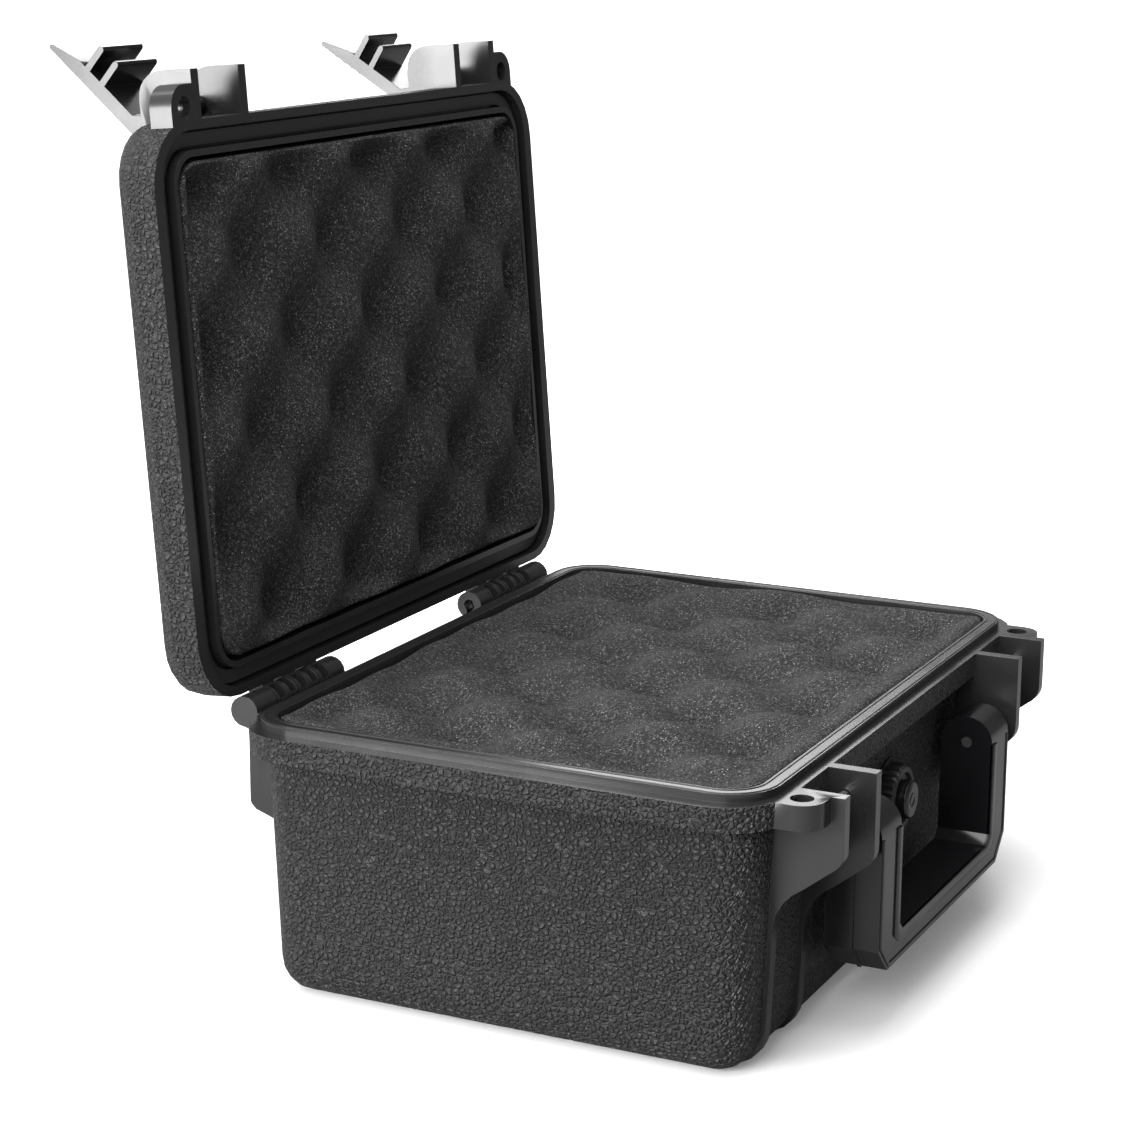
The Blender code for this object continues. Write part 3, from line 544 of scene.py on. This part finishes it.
def grid_faces(rows: int, columns: int, start: int = 0, closed: bool = False) -> np.ndarray:
    """Quads of a grid of points numbered row by row.

    Args:
        rows: rows of points.
        columns: points to a row.
        start: the first point's number.
        closed: whether each row's last point joins its first.

    Returns:
        An (m, 4) array.
    """
    across = columns if closed else columns - 1
    r, c = np.meshgrid(np.arange(rows - 1), np.arange(across), indexing="ij")
    r, c = r.ravel(), c.ravel()
    n = (c + 1) % columns
    low, high = r * columns, (r + 1) * columns
    return start + np.stack([low + c, low + n, high + n, high + c], axis=1)


def closing_faces(rows: int, columns: int) -> np.ndarray:
    """Quads that join a closed row grid's last row to its first."""
    i = np.arange(columns)
    k = (i + 1) % columns
    last = (rows - 1) * columns
    return np.stack([last + i, last + k, k, i], axis=1)


def slab_faces(rows: int, columns: int) -> list[np.ndarray]:
    """Quads of a slab whose top grid is followed by a bottom grid, with a wall round its edge.

    Args:
        rows: rows of points in each grid.
        columns: points to a row.

    Returns:
        Arrays of the top, the bottom and the wall.
    """
    count = rows * columns
    front = np.arange(columns)
    right = np.arange(1, rows) * columns + columns - 1
    back = (rows - 1) * columns + np.arange(columns - 2, -1, -1)
    left = np.arange(rows - 2, 0, -1) * columns
    loop = np.concatenate([front, right, back, left])
    after = np.roll(loop, -1)
    wall = np.stack([loop, after, after + count, loop + count], axis=1)
    return [grid_faces(rows, columns), grid_faces(rows, columns, count)[:, ::-1], wall]


def moved(points: np.ndarray, matrix: Matrix) -> np.ndarray:
    """Points turned and moved by a matrix."""
    m = np.array(matrix)
    return points @ m[:3, :3].T + m[:3, 3]


def refined(node: str, name: str, bevel: float, body: str) -> bpy.types.Object:
    """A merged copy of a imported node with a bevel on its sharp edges.

    Args:
        node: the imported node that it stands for.
        name: the piece's name.
        bevel: the bevel's width in metres.
        body: the body it rides on.

    Returns:
        The copy.
    """
    source = bpy.data.objects[node]
    mesh = source.data.copy()
    made = bpy.data.objects.new(name, mesh)
    bpy.context.scene.collection.objects.link(made)
    form = bmesh.new()
    form.from_mesh(mesh)
    bmesh.ops.transform(form, matrix=source.matrix_world, verts=form.verts)
    bmesh.ops.remove_doubles(form, verts=form.verts, dist=0.00002)
    bmesh.ops.dissolve_limit(form, angle_limit=math.radians(0.6), verts=form.verts, edges=form.edges)
    form.to_mesh(mesh)
    form.free()
    mesh.shade_smooth()
    mesh.set_sharp_from_angle(angle=SHARP)
    edge = made.modifiers.new("edges", "BEVEL")
    edge.width = bevel
    edge.segments = 2
    edge.limit_method = "ANGLE"
    edge.angle_limit = SHARP
    edge.harden_normals = True
    edge.use_clamp_overlap = True
    edge.miter_outer = "MITER_ARC"
    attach(made, body)
    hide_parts(node)
    return made


def finish_piece(piece: bpy.types.Object, material: bpy.types.Material) -> None:
    """Gives a piece one material."""
    piece.data.materials.clear()
    piece.data.materials.append(material)


# ---------------------------------------------------------------- shells


@dataclass
class Shell:
    """The base or the lid: a bevelled copy of its packed shell, with its grained walls marked.

    The strip, shoulder, flange and rib sizes say where smooth plates, rims and ribs stand on the walls.
    """

    node: str
    body: str
    layout: Layout
    material: bpy.types.Material
    bevel: float = 0.00045
    skin_depth: float = 0.0009
    corner: float = 0.020
    plate_strip: float = 0.012
    plate_depth: float = 0.014
    lid_shoulder: float = 0.0092
    flange_height: float = 0.0078
    rib_half: float = 0.0022
    rib_places: tuple[float, float] = (0.0941, 0.0684)
    piece: bpy.types.Object = field(init=False)

    def build(self) -> list[bpy.types.Object]:
        """Makes the copy.

        Returns:
            The piece.
        """
        self.piece = refined(self.node, self.node + "_detail", self.bevel, self.body)
        self.mark_grain()
        return [self.piece]

    def mark_grain(self) -> None:
        """Writes 1 on the faces of the outer walls and 0 on the rest, as a face attribute.

        A face is grained where it lies on the body's skin, away from plates, knuckles, ears and rim.
        """
        mesh = self.piece.data
        count = len(mesh.polygons)
        centres = np.zeros(count * 3)
        normals = np.zeros(count * 3)
        mesh.polygons.foreach_get("center", centres)
        mesh.polygons.foreach_get("normal", normals)
        centres, normals = centres.reshape(-1, 3), normals.reshape(-1, 3)
        if self.body == "lid":
            back = self.layout.lid_turn().inverted()
            centres = moved(centres, back)
            turn = np.array(back)[:3, :3]
            normals = normals @ turn.T
        mask = self.skin(centres, normals).astype(np.float32)
        attribute = mesh.attributes.new("grained", "FLOAT", "FACE")
        attribute.data.foreach_set("value", mask)

    def skin(self, centres: np.ndarray, normals: np.ndarray) -> np.ndarray:
        """Where a face is on the grained skin.

        Args:
            centres: face centres with the lid shut.
            normals: face normals with the lid shut.

        Returns:
            A mask.
        """
        x, y, z = np.abs(centres[:, 0]), centres[:, 1], centres[:, 2]
        out_x, out_y, rim = self.layout.half_x, self.layout.half_y, self.layout.rim_z
        edge = self.skin_depth
        over = np.stack([x - (out_x - self.corner), np.abs(y) - (out_y - self.corner)], axis=1)
        rounded = np.hypot(np.maximum(over[:, 0], 0), np.maximum(over[:, 1], 0)) - self.corner
        straight = np.maximum(x - out_x, np.abs(y) - out_y)
        proud = np.where((over > 0).all(axis=1), rounded, straight)
        outward = normals[:, 0] * np.sign(centres[:, 0]) * (x / out_x) ** 4
        outward += normals[:, 1] * np.sign(y) * (np.abs(y) / out_y) ** 4
        flat_side = np.abs(normals[:, 0]) > 0.9
        inside_corner = x < out_x - self.plate_strip
        plates = (y < -out_y - edge) | (y > out_y + edge)
        plates |= flat_side & inside_corner & (np.abs(y) > out_y - self.plate_depth)
        level = np.abs(normals[:, 2]) > 0.9
        on_skin = (proud > -edge) & ~level
        if self.body == "lid":
            above = (z > rim + self.lid_shoulder) & (outward + np.maximum(normals[:, 2], 0) > 0.12)
            under = (normals[:, 2] < -0.5) | (z < rim + 0.001)
            return (above | on_skin) & ~under & ~plates
        near_rib = [np.abs(x - place) < self.rib_half for place in self.rib_places]
        ribs = (y < 0) & (near_rib[0] | near_rib[1])
        ribs |= (y > 0.079) & (np.abs(normals[:, 1]) < 0.5) & inside_corner
        below = z < rim - self.flange_height
        wall = below & ((outward > 0.1) | (normals[:, 2] < -0.3))
        band = (z < rim - 0.0005) & ~below & on_skin
        ledge = level & (z > rim - 0.02)
        return (wall | band) & ~plates & ~ribs & ~ledge

    def dress(self) -> None:
        """Gives the shell its plastic."""
        finish_piece(self.piece, self.material)


# ---------------------------------------------------------------- foam


@dataclass
class EggCrate:
    """A foam pad whose top is a staggered lattice of smooth humps and hollows.

    The top over (x, y) is z = top - depth / 2 + depth / 2 * (cos a cos b) with a = 2 pi x / pitch_x and
    b = pi y / row, raised to broad humps by the plateau power, and it falls at the pad's edge. Within rim
    of the edge the lattice fades to an even height. The keep field is not used.
    """

    name: str
    node: str
    body: str
    half_x: float
    half_y: float
    corner: float
    low: float
    top: float
    depth: float
    shift: tuple[float, float]
    turn: Matrix
    material: bpy.types.Material
    pitch_x: float = 0.050
    row: float = 0.027
    rim: float = 0.0
    plateau: float = 0.75
    keep: float = 0.9
    edge_round: float = 0.004
    edge_drop: float = 0.0022
    crowd: float = 0.25
    columns: int = 190
    rows: int = 140
    piece: bpy.types.Object = field(init=False)

    def plan(self) -> tuple[np.ndarray, np.ndarray]:
        """The grid's x and y: a square grid drawn in at its corners to the rounded outline.

        Returns:
            Two (rows, columns) arrays.
        """
        u = np.linspace(-1, 1, self.columns)
        v = np.linspace(-1, 1, self.rows)
        near, even = self.crowd, 1 - self.crowd
        u, v = np.meshgrid(
            np.sin(u * math.pi / 2) * near + u * even, np.sin(v * math.pi / 2) * near + v * even
        )
        x, y = u * self.half_x, v * self.half_y
        over_x = np.clip(np.abs(x) - (self.half_x - self.corner), 0, None)
        over_y = np.clip(np.abs(y) - (self.half_y - self.corner), 0, None)
        most = np.maximum(np.maximum(over_x, over_y), 1e-9)
        length = np.maximum(np.hypot(over_x, over_y), 1e-9)
        pull = np.where((over_x > 0) & (over_y > 0), most / length, 1.0)
        x = np.sign(x) * (np.abs(x) - over_x + over_x * pull)
        y = np.sign(y) * (np.abs(y) - over_y + over_y * pull)
        return x, y

    def height(self, x: np.ndarray, y: np.ndarray) -> np.ndarray:
        """The top's height over each point.

        Args:
            x: distances across.
            y: distances back.

        Returns:
            Heights in metres.
        """
        a = 2 * math.pi * (x - self.shift[0]) / self.pitch_x
        b = math.pi * (y - self.shift[1]) / self.row
        wave = np.cos(a) * np.cos(b)
        wave = 2 * (0.5 + 0.5 * wave) ** self.plateau - 1
        if self.rim > 0:
            inward = np.minimum(self.half_x - np.abs(x), self.half_y - np.abs(y)) / self.rim
            calm = np.clip(inward, 0, 1)
            calm = calm * calm * (3 - 2 * calm)
            wave = wave * calm + 0.75 * (1 - calm)
        uneven = 0.12 * np.sin(x * 61 + 1.3) * np.cos(y * 83 + 0.4) + 0.08 * np.sin(x * 190 + y * 140)
        edge_x = (self.half_x - np.abs(x)) / self.edge_round
        edge_y = (self.half_y - np.abs(y)) / self.edge_round
        edge = np.clip(np.minimum(edge_x, edge_y), 0, 1)
        edge = np.sqrt(1 - (1 - edge) ** 2)
        hump = 0.5 - 0.5 * wave * (1 + uneven) / 1.2
        return self.top - self.depth * hump - self.edge_drop * (1 - edge)

    def build(self) -> list[bpy.types.Object]:
        """Makes the pad.

        Returns:
            The piece.
        """
        x, y = self.plan()
        z = self.height(x, y)
        top = np.stack([x, y, z], axis=2).reshape(-1, 3)
        bottom = np.stack([x, y, np.full_like(z, self.low)], axis=2).reshape(-1, 3)
        points = moved(np.concatenate([top, bottom]), self.turn)
        self.piece = mesh_piece(self.name, points, slab_faces(self.rows, self.columns))
        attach(self.piece, self.body)
        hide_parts(self.node)
        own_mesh(self.piece)
        return [self.piece]

    def dress(self) -> None:
        """Gives the pad its foam."""
        finish_piece(self.piece, self.material)


def base_pad(foam: bpy.types.Material) -> EggCrate:
    """The pad in the base, hollows upwards, with an even border."""
    return EggCrate(
        name="base_foam", node="base_foam_pad", body="base", half_x=0.1093, half_y=0.0768, corner=0.010,
        low=0.0390, top=0.0886, depth=0.0125, shift=(0.012, -0.005), turn=Matrix.Identity(4),
        material=foam, rim=0.016,
    )


def lid_pad(layout: Layout, foam: bpy.types.Material) -> EggCrate:
    """The pad in the lid, worked out upside down with the lid shut, then opened with it."""
    mouth = layout.rim_z + SEAL_GAP
    flip = Matrix.Scale(-1, 4, (0, 0, 1))
    return EggCrate(
        name="lid_foam", node="lid_foam_pad", body="lid", half_x=0.1068, half_y=0.0742, corner=0.010,
        low=-(mouth + 0.0095), top=-(mouth - 0.0042), depth=0.0125, shift=(0.005, 0.010),
        turn=layout.lid_turn() @ flip, material=foam, rim=0.006, keep=0.5,
    )


@dataclass
class SealLine:
    """A fine closed bead that follows the rounded outline of a rim or lip.

    The path is a rounded rectangle; the section (s, t) stands s across it and t proud of the face.
    """

    name: str
    body: str
    half_x: float
    half_y: float
    corner: float
    level: float
    material: bpy.types.Material
    width: float = 0.0007
    proud: float = 0.00025
    arc_steps: int = 14
    piece: bpy.types.Object = field(init=False)

    def build(self) -> list[bpy.types.Object]:
        """Makes the bead.

        Returns:
            The piece.
        """
        turns = np.linspace(0, math.pi / 2, self.arc_steps)
        angles = np.concatenate([turns + k * math.pi / 2 for k in range(4)])
        middle_x = np.repeat([1, -1, -1, 1], self.arc_steps) * (self.half_x - self.corner)
        middle_y = np.repeat([1, 1, -1, -1], self.arc_steps) * (self.half_y - self.corner)
        s = np.array([-0.5, -0.5, -0.25, 0.25, 0.5, 0.5]) * self.width
        t = np.array([-1.2, 0.2, 1.0, 1.0, 0.2, -1.2]) * self.proud
        r = self.corner + s[None, :]
        x = middle_x[:, None] + np.cos(angles)[:, None] * r
        y = middle_y[:, None] + np.sin(angles)[:, None] * r
        z = np.broadcast_to(self.level + t[None, :], x.shape)
        rows, columns = x.shape
        faces = [grid_faces(rows, columns, closed=True), closing_faces(rows, columns)]
        points = np.stack([x, y, z], axis=2).reshape(-1, 3)
        self.piece = mesh_piece(self.name, points, faces)
        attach(self.piece, self.body)
        return [self.piece]

    def dress(self) -> None:
        """Gives the bead its plastic."""
        finish_piece(self.piece, self.material)


# ---------------------------------------------------------------- handle, latches, valve


def swept(name: str, path: np.ndarray, across: np.ndarray, section: np.ndarray) -> bpy.types.Object:
    """A section carried along a path: point = path + section_u * across + section_v * (0, -1, 0).

    Args:
        name: the piece's name.
        path: an (n, 3) array of points.
        across: an (n, 3) array, mitred, towards the section's first axis.
        section: an (m, 2) closed outline.

    Returns:
        The piece, its two ends closed by fans about their middles.
    """
    out = np.array([0.0, -1.0, 0.0])
    points = path[:, None, :] + across[:, None, :] * section[None, :, :1] + out * section[None, :, 1:]
    rows, columns = len(path), len(section)
    flat = np.vstack([points.reshape(-1, 3), points[0].mean(axis=0), points[-1].mean(axis=0)])
    i = np.arange(columns)
    fans = []
    for start, middle in ((0, rows * columns), ((rows - 1) * columns, rows * columns + 1)):
        fans.append(np.stack([start + i, start + (i + 1) % columns, np.full(columns, middle)], axis=1))
    return mesh_piece(name, flat, [grid_faces(rows, columns, closed=True), *fans])


@dataclass
class Handle:
    """The swinging handle: a bevelled body, a raised rim round its window and a rib round its outside."""

    material: bpy.types.Material
    arm: float = 0.017
    bar: float = 0.0092
    chamfer: float = 0.008
    window_chamfer: float = 0.003
    rim_arm: float = 0.0040
    rim_bar: float = 0.0034
    rim_proud: float = 0.0007
    bead_inset: float = 0.0007
    bead_width: float = 0.0013
    bead_proud: float = 0.7
    rib_proud: float = 0.00045
    rib_half: float = 0.0008
    pieces: list[bpy.types.Object] = field(default_factory=list)

    def build(self) -> list[bpy.types.Object]:
        """Makes the handle's pieces.

        Returns:
            The pieces.
        """
        low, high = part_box("handle")
        half, inner, front = high[0], high[0] - self.arm, low[1]
        pivot_z = high[2] - (high[1] - low[1]) / 2
        self.pieces.append(refined("handle", "handle_body", 0.0006, "carry_handle"))
        self.pieces.append(self.make_rim(inner, low[2] + self.bar, pivot_z, front))
        self.pieces.append(self.make_rib(half, low[2], pivot_z, (low[1] + high[1]) / 2))
        self.pieces.append(self.make_bead(half, low[2], pivot_z, front))
        return self.pieces

    def carried(
        self, name: str, path: np.ndarray, across: np.ndarray, section: list[tuple[float, float]]
    ) -> bpy.types.Object:
        """A swept piece that rides on the handle.

        Args:
            name: the piece's name.
            path: its path.
            across: the section's first axis at each point of the path.
            section: the section's outline.

        Returns:
            The piece.
        """
        made = swept(name, path, across, np.array(section))
        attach(made, "carry_handle")
        return made

    def outer_path(self, half: float, low: float, top: float, level: float) -> np.ndarray:
        """The handle's outer outline, down one arm, along the bar and up the other.

        Args:
            half: half the outline's width.
            low: its underside.
            top: where the arms' round heads start.
            level: its y.

        Returns:
            A (6, 3) array.
        """
        cut = self.chamfer
        arm = [(half, top), (half, low + cut), (half - cut, low)]
        return np.array([(-x, level, z) for x, z in arm] + [(x, level, z) for x, z in reversed(arm)])

    def make_rim(self, inner: float, window: float, top: float, front: float) -> bpy.types.Object:
        """The raised rim round three sides of the window, on the front face.

        Args:
            inner: half the window's width.
            window: the window's lower edge.
            top: where the arms' round heads start.
            front: the front face's y.

        Returns:
            The piece.
        """
        cut = self.window_chamfer
        a, b = self.rim_arm, self.rim_bar
        inside = [(inner, top), (inner, window + cut), (inner - cut, window)]
        outside = [(inner + a, top), (inner + a, window + cut - b), (inner - cut + a * 0.6, window - b)]
        path = [(-x, front, z) for x, z in inside] + [(x, front, z) for x, z in reversed(inside)]
        away = [(ox - ix, oz - iz) for (ix, iz), (ox, oz) in zip(inside, outside)]
        across = [(-x, 0, z) for x, z in away] + [(x, 0, z) for x, z in reversed(away)]
        proud, sunk = self.rim_proud, -0.0005
        inner_side = [(0.0, sunk), (0.0, proud * 0.6), (0.12, proud)]
        outer_side = [(0.85, proud), (1.0, proud * 0.5), (1.0, sunk)]
        section = inner_side + outer_side
        return self.carried("handle_rim", np.array(path), np.array(across), section)

    def make_bead(self, half: float, low: float, top: float, front: float) -> bpy.types.Object:
        """The fine bead along the outer edge of the front face.

        Args:
            half: half the handle's width.
            low: the handle's underside.
            top: where the arms' round heads start.
            front: the front face's y.

        Returns:
            The piece.
        """
        near, width = self.bead_inset, self.bead_width
        path = self.outer_path(half - near, low + near, top, front)
        inwards = [(1, 0), (1, MITRE), (MITRE, 1), (-MITRE, 1), (-1, MITRE), (-1, 0)]
        across = np.array([(u * width, 0, v * width) for u, v in inwards], dtype=float)
        proud, sunk = self.rim_proud * self.bead_proud, -0.0004
        section = [(0.0, sunk), (0.15, proud * 0.7), (0.5, proud), (0.85, proud * 0.7), (1.0, sunk)]
        return self.carried("handle_bead", path, across, section)

    def make_rib(self, half: float, low: float, top: float, middle: float) -> bpy.types.Object:
        """The parting rib round the outside of the U.

        Args:
            half: half the handle's width.
            low: the handle's underside.
            top: where the arms' round heads start.
            middle: the handle's middle in y.

        Returns:
            The piece.
        """
        path = self.outer_path(half, low, top, middle)
        lean = 0.4
        outwards = [(-1, 0), (-1, -lean), (-lean, -1), (lean, -1), (1, -lean), (1, 0)]
        across = np.array([(u, 0, v) for u, v in outwards], dtype=float)
        proud, wide, sunk = self.rib_proud, self.rib_half, -0.0004
        section = [(sunk, -wide), (proud, -wide * 0.7), (proud, wide * 0.7), (sunk, wide)]
        return self.carried("handle_rib", path, across, section)

    def dress(self) -> None:
        """Gives the pieces their plastic."""
        for piece in self.pieces:
            finish_piece(piece, self.material)


@dataclass
class Latch:
    """A latch: a bevelled body and the grip ridges on its outer face."""

    side: Side
    layout: Layout
    material: bpy.types.Material
    pivot_y: float = -0.0893
    pivot_z: float = 0.0995
    outer: float = 0.0123
    first_ridge: float = 0.0215
    ridge_pitch: float = 0.0036
    ridges: int = 4
    ridge_steps: int = 8
    ridge_rise: float = 0.0007
    ridge_sunk: float = 0.0006
    side_inset: float = 0.0011
    side_round: float = 0.0003
    pieces: list[bpy.types.Object] = field(default_factory=list)

    def names(self) -> tuple[str, str]:
        """The latch's node and body."""
        label = self.side.name.lower()
        return "latch_" + label, label + "_latch"

    def turn(self) -> Matrix:
        """From the shut case to where this latch lies at rest."""
        node, _ = self.names()
        joints = {j["name"]: j for j in frame["record"]["behaviour"]["joints"]}
        angle = math.radians(joints[node + "_pivot"]["range_deg"][1])
        place = Matrix.Translation((0, self.pivot_y, self.pivot_z))
        return self.layout.lid_turn() @ place @ Matrix.Rotation(-angle, 4, "X") @ place.inverted()

    def build(self) -> list[bpy.types.Object]:
        """Makes the latch's pieces.

        Returns:
            The pieces.
        """
        node, body = self.names()
        self.pieces.append(refined(node, node + "_body", 0.0004, body))
        self.pieces.append(self.make_ridges(node, body))
        return self.pieces

    def make_ridges(self, node: str, body: str) -> bpy.types.Object:
        """Grip ridges: a strip over the outer face, rising as a raised cosine along the lever.

        Args:
            node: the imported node.
            body: the body it rides on.

        Returns:
            The piece.
        """
        low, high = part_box(node)
        steps = self.ridges * self.ridge_steps + 1
        down = np.linspace(0, self.ridges * self.ridge_pitch, steps)
        wave = 0.5 - 0.5 * np.cos(2 * math.pi * down / self.ridge_pitch)
        rise = self.ridge_rise * wave**0.7
        ends = np.array([self.side_inset, self.side_inset + self.side_round])
        across = np.concatenate([low[0] + ends, high[0] - ends[::-1]])
        drop = np.array([-0.0004, 0.0, 0.0, -0.0004])
        x, d = np.meshgrid(across, down)
        out = self.outer - 0.0001 + rise[:, None] + drop[None, :]
        y, z = self.pivot_y - out, self.pivot_z - self.first_ridge - d
        top = np.stack([x, y, z], axis=2).reshape(-1, 3)
        base = top.copy()
        base[:, 1] = self.pivot_y - (self.outer - self.ridge_sunk)
        points = moved(np.concatenate([top, base]), self.turn())
        made = mesh_piece(node + "_ridges", points, slab_faces(steps, len(across)))
        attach(made, body)
        return made

    def dress(self) -> None:
        """Gives the pieces their plastic."""
        for piece in self.pieces:
            finish_piece(piece, self.material)


@dataclass
class Trim:
    """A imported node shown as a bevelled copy."""

    node: str
    body: str
    slot: str
    bevel: float
    material: bpy.types.Material
    piece: bpy.types.Object = field(init=False)

    def build(self) -> list[bpy.types.Object]:
        """Makes the copy.

        Returns:
            The piece.
        """
        self.piece = refined(self.node, self.node + "_detail", self.bevel, self.body)
        return [self.piece]

    def dress(self) -> None:
        """Gives the copy its finish."""
        finish_piece(self.piece, self.material)


# ---------------------------------------------------------------- studio


@dataclass(frozen=True)
class Lamp:
    """A square light that faces the case: its place, width in metres and power in watts."""

    name: str
    place: tuple[float, float, float]
    size: float
    power: float


LAMPS = [
    Lamp("top", (-0.25, 0.25, 1.5), 1.2, 24.0),
    Lamp("side", (-1.25, 0.65, 0.30), 0.55, 24.0),
    Lamp("left", (-1.5, -0.1, 0.9), 0.9, 17.0),
    Lamp("back", (1.2, 0.6, 0.9), 0.6, 8.0),
]


@dataclass
class Studio:
    """Floor, lights and camera. Yaw, pitch and roll are in degrees."""

    place: tuple[float, float, float] = (-0.7870, -0.3481, 0.3256)
    yaw: float = -64.18
    pitch: float = -13.6
    roll: float = 0.36
    lens: float = 88.1
    fill: float = 0.85
    fill_front: float = 0.16
    seen_extra: float = 1.4
    floor_reach: float = 60.0
    floor_level: float = -0.0001

    def build(self) -> None:
        """Makes the floor, the lights, the world and the camera."""
        self.make_floor()
        self.make_lights()
        self.make_world()
        self.make_camera()
        bpy.context.scene.view_settings.view_transform = "Standard"

    def make_floor(self) -> None:
        """A wide pale floor under the case."""
        corners = [(-1, -1), (1, -1), (1, 1), (-1, 1)]
        reach = self.floor_reach
        points = np.array([(x * reach, y * reach, self.floor_level) for x, y in corners])
        floor = mesh_piece("floor", points, [np.array([[0, 1, 2, 3]])], smooth=False)
        finish_piece(floor, self.paper())

    def paper(self) -> bpy.types.Material:
        """Pale paper that glows to the camera's own rays, more so away from the case, and less to the rest.

        Returns:
            The material.
        """
        made = bpy.data.materials.new("paper")
        made.use_nodes = True
        g = Graph(made.node_tree)
        shader = made.node_tree.nodes["Principled BSDF"]
        where = g.add("ShaderNodeTexCoord").outputs["Object"]
        seen = g.tree.nodes.new("ShaderNodeLightPath").outputs["Is Camera Ray"]
        g.put(shader, "Base Color", g.blend(seen, (0.30, 0.30, 0.30, 1), (0.93, 0.93, 0.93, 1)))
        g.put(shader, "Roughness", g.ramp(g.noise(where, 8.0, 2.0), 0.3, 0.7, (0.75, 0.85)))
        length = g.tree.nodes.new("ShaderNodeVectorMath")
        length.operation = "LENGTH"
        g.put(length, 0, where)
        far = g.ramp(length.outputs["Value"], 0.12, 0.55, (0.12, 1.0))
        shader.inputs["Emission Color"].default_value = (1, 1, 1, 1)
        g.put(shader, "Emission Strength", g.math("MULTIPLY", far, seen))
        return made

    def make_lights(self) -> None:
        """The lights, each turned to the case."""
        centre = Vector((0, 0, 0.1))
        for lamp in LAMPS:
            data = bpy.data.lights.new(lamp.name, "AREA")
            data.size = lamp.size
            data.energy = lamp.power
            made = bpy.data.objects.new(lamp.name, data)
            made.location = lamp.place
            made.visible_camera = False
            made.rotation_euler = (centre - Vector(lamp.place)).to_track_quat("-Z", "Y").to_euler()
            bpy.context.scene.collection.objects.link(made)

    def make_world(self) -> None:
        """White surroundings, dimmer from the front right than from the back left."""
        world = bpy.data.worlds.new("room")
        world.use_nodes = True
        g = Graph(world.node_tree)
        back = world.node_tree.nodes["Background"]
        back.inputs["Color"].default_value = (1, 1, 1, 1)
        seen = g.tree.nodes.new("ShaderNodeLightPath").outputs["Is Camera Ray"]
        way = g.xyz(g.add("ShaderNodeTexCoord").outputs["Generated"])
        lean = g.math("SUBTRACT", g.math("MULTIPLY", way[1], 0.7), g.math("MULTIPLY", way[0], 0.7))
        fill = g.ramp(lean, -0.9, 0.7, (self.fill_front, self.fill))
        white = g.math("MULTIPLY", seen, self.seen_extra)
        g.put(back, "Strength", g.math("ADD", white, fill))
        bpy.context.scene.world = world

    def make_camera(self) -> None:
        """The camera, from its yaw, pitch and roll."""
        yaw, pitch, roll = (math.radians(v) for v in (self.yaw, self.pitch, self.roll))
        ahead = Vector((-math.sin(yaw) * math.cos(pitch), math.cos(yaw) * math.cos(pitch), math.sin(pitch)))
        right = Vector((math.cos(yaw), math.sin(yaw), 0))
        up = right.cross(ahead)
        side = right * math.cos(roll) + up * math.sin(roll)
        top = -right * math.sin(roll) + up * math.cos(roll)
        turn = Matrix((side, top, -ahead)).transposed().to_4x4()
        data = bpy.data.cameras.new("camera")
        data.lens = self.lens
        data.sensor_width = 36.0
        data.clip_start = 0.01
        camera = bpy.data.objects.new("camera", data)
        camera.matrix_world = Matrix.Translation(self.place) @ turn
        bpy.context.scene.collection.objects.link(camera)
        bpy.context.scene.camera = camera


# ---------------------------------------------------------------- main


def dress_nodes(nodes: list[str], material: bpy.types.Material) -> None:
    """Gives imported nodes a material.

    Args:
        nodes: node names.
        material: what each takes.
    """
    for name in nodes:
        mesh_object = bpy.data.objects[name]
        mesh_object.data.materials.clear()
        mesh_object.data.materials.append(material)
        LOG.info("dressed %s", name)


def main() -> None:
    """Builds the case piece by piece."""
    logging.basicConfig(level=logging.INFO, format="%(name)s: %(message)s")
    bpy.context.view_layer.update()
    effects = Effects()
    layout = Layout.read()
    shell_look = GrainedPlastic("grained_black", SHELL_BLACK, 0.46).build(effects)
    gloss = Finish("smooth_black", GLOSS_BLACK, 0.17).build(effects)
    satin = Finish("satin_black", SATIN_BLACK, 0.34).build(effects)
    steel = Finish("pin_steel_look", STEEL, 0.28, 1.0).build(effects)
    rubber = Finish("seal_black", SEAL_BLACK, 0.45).build(effects)
    foam = OpenFoam("foam_charcoal", FOAM_CHARCOAL, 0.95).build(effects)
    tongue_top = 0.0866
    parts = [
        Shell("base_shell", "base", layout, shell_look),
        Shell("lid_shell", "lid", layout, shell_look),
        base_pad(foam),
        lid_pad(layout, foam),
        SealLine("tongue_outer_line", "base", 0.1141, 0.0821, 0.0151, tongue_top, satin),
        SealLine("tongue_inner_line", "base", 0.1109, 0.0789, 0.0119, tongue_top, satin),
        Handle(gloss),
        Latch(Side.LEFT, layout, gloss),
        Latch(Side.RIGHT, layout, gloss),
        Trim("valve_knob", "valve", "smooth_plastic", 0.0002, satin),
        Trim("valve_button", "valve", "smooth_plastic", 0.0002, gloss),
        Trim("lid_gasket", "lid", "seal_rubber", 0.0003, rubber),
    ]
    for part in parts:
        for piece in part.build():
            LOG.info("made %s, %d faces", piece.name, len(piece.data.polygons))
        part.dress()
    dress_nodes([n for n in frame["nodes"] if "pin" in n], steel)
    dress_nodes(["base_foam_block"], foam)
    dress_nodes(["valve_body", "valve_nut"], satin)
    dress_nodes(["valve_o_ring", "valve_membrane"], rubber)
    Studio().build()


if __name__ == "__main__":
    main()
